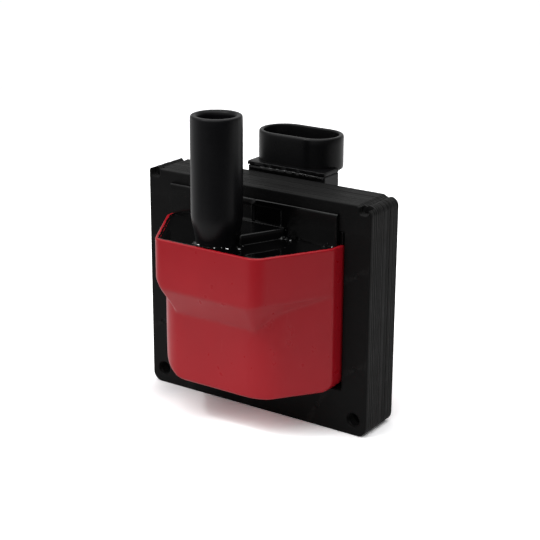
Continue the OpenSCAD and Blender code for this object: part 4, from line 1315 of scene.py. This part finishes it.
def floor():
    m = Mat("floor_white", Roughness=0.9, Specular_IOR_Level=0.0)
    n = m.noise(3.0, 2.0)
    m.set(Base_Color=m.mix(m.ramp(n, 0.3, 0.7), (0.74, 0.74, 0.74), (0.76, 0.76, 0.76)))
    # exposed a little over white to the camera only
    seen = m.new("ShaderNodeBsdfDiffuse")
    x, y = m.axis("X"), m.axis("Y")

    def painted_light_spot(cx, cy, r):
        dx = m.math("DIVIDE", m.math("SUBTRACT", x, cx), r)
        dy = m.math("DIVIDE", m.math("SUBTRACT", y, cy), r)
        q = m.math("ADD", m.math("MULTIPLY", dx, dx), m.math("MULTIPLY", dy, dy))
        return m.math("EXPONENT", m.math("MULTIPLY", q, -1.0))

    shade = m.mix(m.ramp(n, 0.3, 0.7), (1.30, 1.30, 1.31), (1.33, 1.33, 1.34))
    # painted light for the camera only: a brighter patch lifts the floor's shadow in front of the cup, and a darker
    # patch left of the cup is a painted shadow
    shade = m.mix(painted_light_spot(0.008, -0.018, 0.015), shade, (2.45, 2.7, 2.7))
    shade = m.mix(m.math("MULTIPLY", painted_light_spot(-0.0285, -0.009, 0.009), 0.7), shade, (0.7, 0.7, 0.71))
    m.link(shade, seen.inputs["Color"])
    path = m.new("ShaderNodeLightPath")
    both = m.new("ShaderNodeMixShader")
    m.link(path.outputs["Is Camera Ray"], both.inputs[0])
    m.link(m.b.outputs[0], both.inputs[1])
    m.link(seen.outputs[0], both.inputs[2])
    m.link(both.outputs[0], m.out.inputs[0])
    me = bpy.data.meshes.new("floor")
    toward = Vector((-CAM_FWD.x, -CAM_FWD.y, 0.0)).normalized()
    across = Vector((toward.y, -toward.x, 0.0))
    bm = bmesh.new()
    bmesh.ops.create_grid(bm, x_segments=8, y_segments=8, size=0.5)
    for v in bm.verts:
        p = toward * (v.co.x * 0.77 - 0.245) + across * (v.co.y * 0.64 - 0.155)
        v.co = Vector((p.x, p.y, -0.00002))
    bm.to_mesh(me)
    bm.free()
    me.materials.append(m.m)
    ob = bpy.data.objects.new("floor", me)
    scene.collection.objects.link(ob)


floor()


def area(name, pos, aim, size, power, color=(1, 1, 1)):
    data = bpy.data.lights.new(name, "AREA")
    data.shape = "RECTANGLE"
    data.size, data.size_y = size
    data.energy = power
    data.color = color
    ob = bpy.data.objects.new(name, data)
    ob.location = pos
    ob.rotation_mode = "QUATERNION"
    ob.rotation_quaternion = (Vector(aim) - Vector(pos)).to_track_quat("-Z", "Y")
    scene.collection.objects.link(ob)
    return ob


AIM = (0.0, 0.0, 0.0)
area("top_softbox", (0.0, -0.12, 0.9), (0.0, -0.02, 0.0), (1.3, 1.3), 9.0)
area("key", (-0.3, -0.5, 0.85), AIM, (0.09, 0.09), 1.3)


def world():
    """White to the camera. For light and reflections: a dim studio, dark behind the camera, pale at the back and left."""
    w = bpy.data.worlds.new("studio")
    scene.world = w
    w.use_nodes = True
    t = w.node_tree
    t.nodes.clear()
    out = t.nodes.new("ShaderNodeOutputWorld")
    tc = t.nodes.new("ShaderNodeTexCoord")

    def along(vec, stops):
        dot = t.nodes.new("ShaderNodeVectorMath")
        dot.operation = "DOT_PRODUCT"
        t.links.new(tc.outputs["Generated"], dot.inputs[0])
        dot.inputs[1].default_value = vec
        mr = t.nodes.new("ShaderNodeMapRange")
        mr.inputs["From Min"].default_value = -1
        t.links.new(dot.outputs["Value"], mr.inputs["Value"])
        ramp = t.nodes.new("ShaderNodeValToRGB")
        t.links.new(mr.outputs["Result"], ramp.inputs["Fac"])
        while len(ramp.color_ramp.elements) < len(stops):
            ramp.color_ramp.elements.new(0.5)
        for e, (p, v) in zip(ramp.color_ramp.elements, stops):
            e.position = p
            e.color = (v, v, v, 1)
        return ramp.outputs["Color"]

    def join(op, a, b):
        n = t.nodes.new("ShaderNodeVectorMath")
        n.operation = op
        t.links.new(a, n.inputs[0])
        t.links.new(b, n.inputs[1])
        return n.outputs[0]

    c = Vector((-CAM_FWD.x, -CAM_FWD.y, 0.0)).normalized()
    # above the table: light from the front and left, dim on the right
    sky_y = along(Vector((0, 1, 0)), [(0.0, 0.95), (0.35, 0.85), (0.6, 0.62), (1.0, 0.68)])
    sky_x = along(Vector((1, 0, 0)), [(0.0, 0.8), (0.3, 0.9), (0.55, 0.9), (0.75, 0.7), (0.9, 0.3), (1.0, 0.2)])
    # past the edge of the table: dark behind the camera, pale at the sides and back
    low = along(c, [(0.0, 0.8), (0.3, 0.75), (0.45, 0.6), (0.65, 0.26), (0.8, 0.13), (1.0, 0.07)])
    low_x = along(Vector((c.y, -c.x, 0.0)), [(0.0, 0.75), (0.4, 0.9), (0.6, 1.0), (1.0, 1.1)])
    up = along(Vector((0, 0, 1)), [(0.0, 0.0), (0.49, 0.0), (0.51, 1.0), (1.0, 1.0)])
    down = along(Vector((0, 0, 1)), [(0.0, 1.0), (0.49, 1.0), (0.51, 0.0), (1.0, 0.0)])
    sky = join("MULTIPLY", join("MULTIPLY", sky_y, sky_x), up)
    col = join("ADD", sky, join("MULTIPLY", join("MULTIPLY", low, low_x), down))
    bg = t.nodes.new("ShaderNodeBackground")
    t.links.new(col, bg.inputs["Color"])
    bg.inputs["Strength"].default_value = 1.0
    white = t.nodes.new("ShaderNodeBackground")
    white.inputs["Color"].default_value = (1, 1, 1, 1)
    white.inputs["Strength"].default_value = 1.02
    lp = t.nodes.new("ShaderNodeLightPath")
    mix = t.nodes.new("ShaderNodeMixShader")
    t.links.new(lp.outputs["Is Camera Ray"], mix.inputs["Fac"])
    t.links.new(bg.outputs[0], mix.inputs[1])
    t.links.new(white.outputs[0], mix.inputs[2])
    t.links.new(mix.outputs[0], out.inputs[0])


world()
scene.view_settings.view_transform = "Standard"
scene.view_settings.look = "None"
scene.view_settings.exposure = 0.0
scene.view_settings.gamma = 1.0
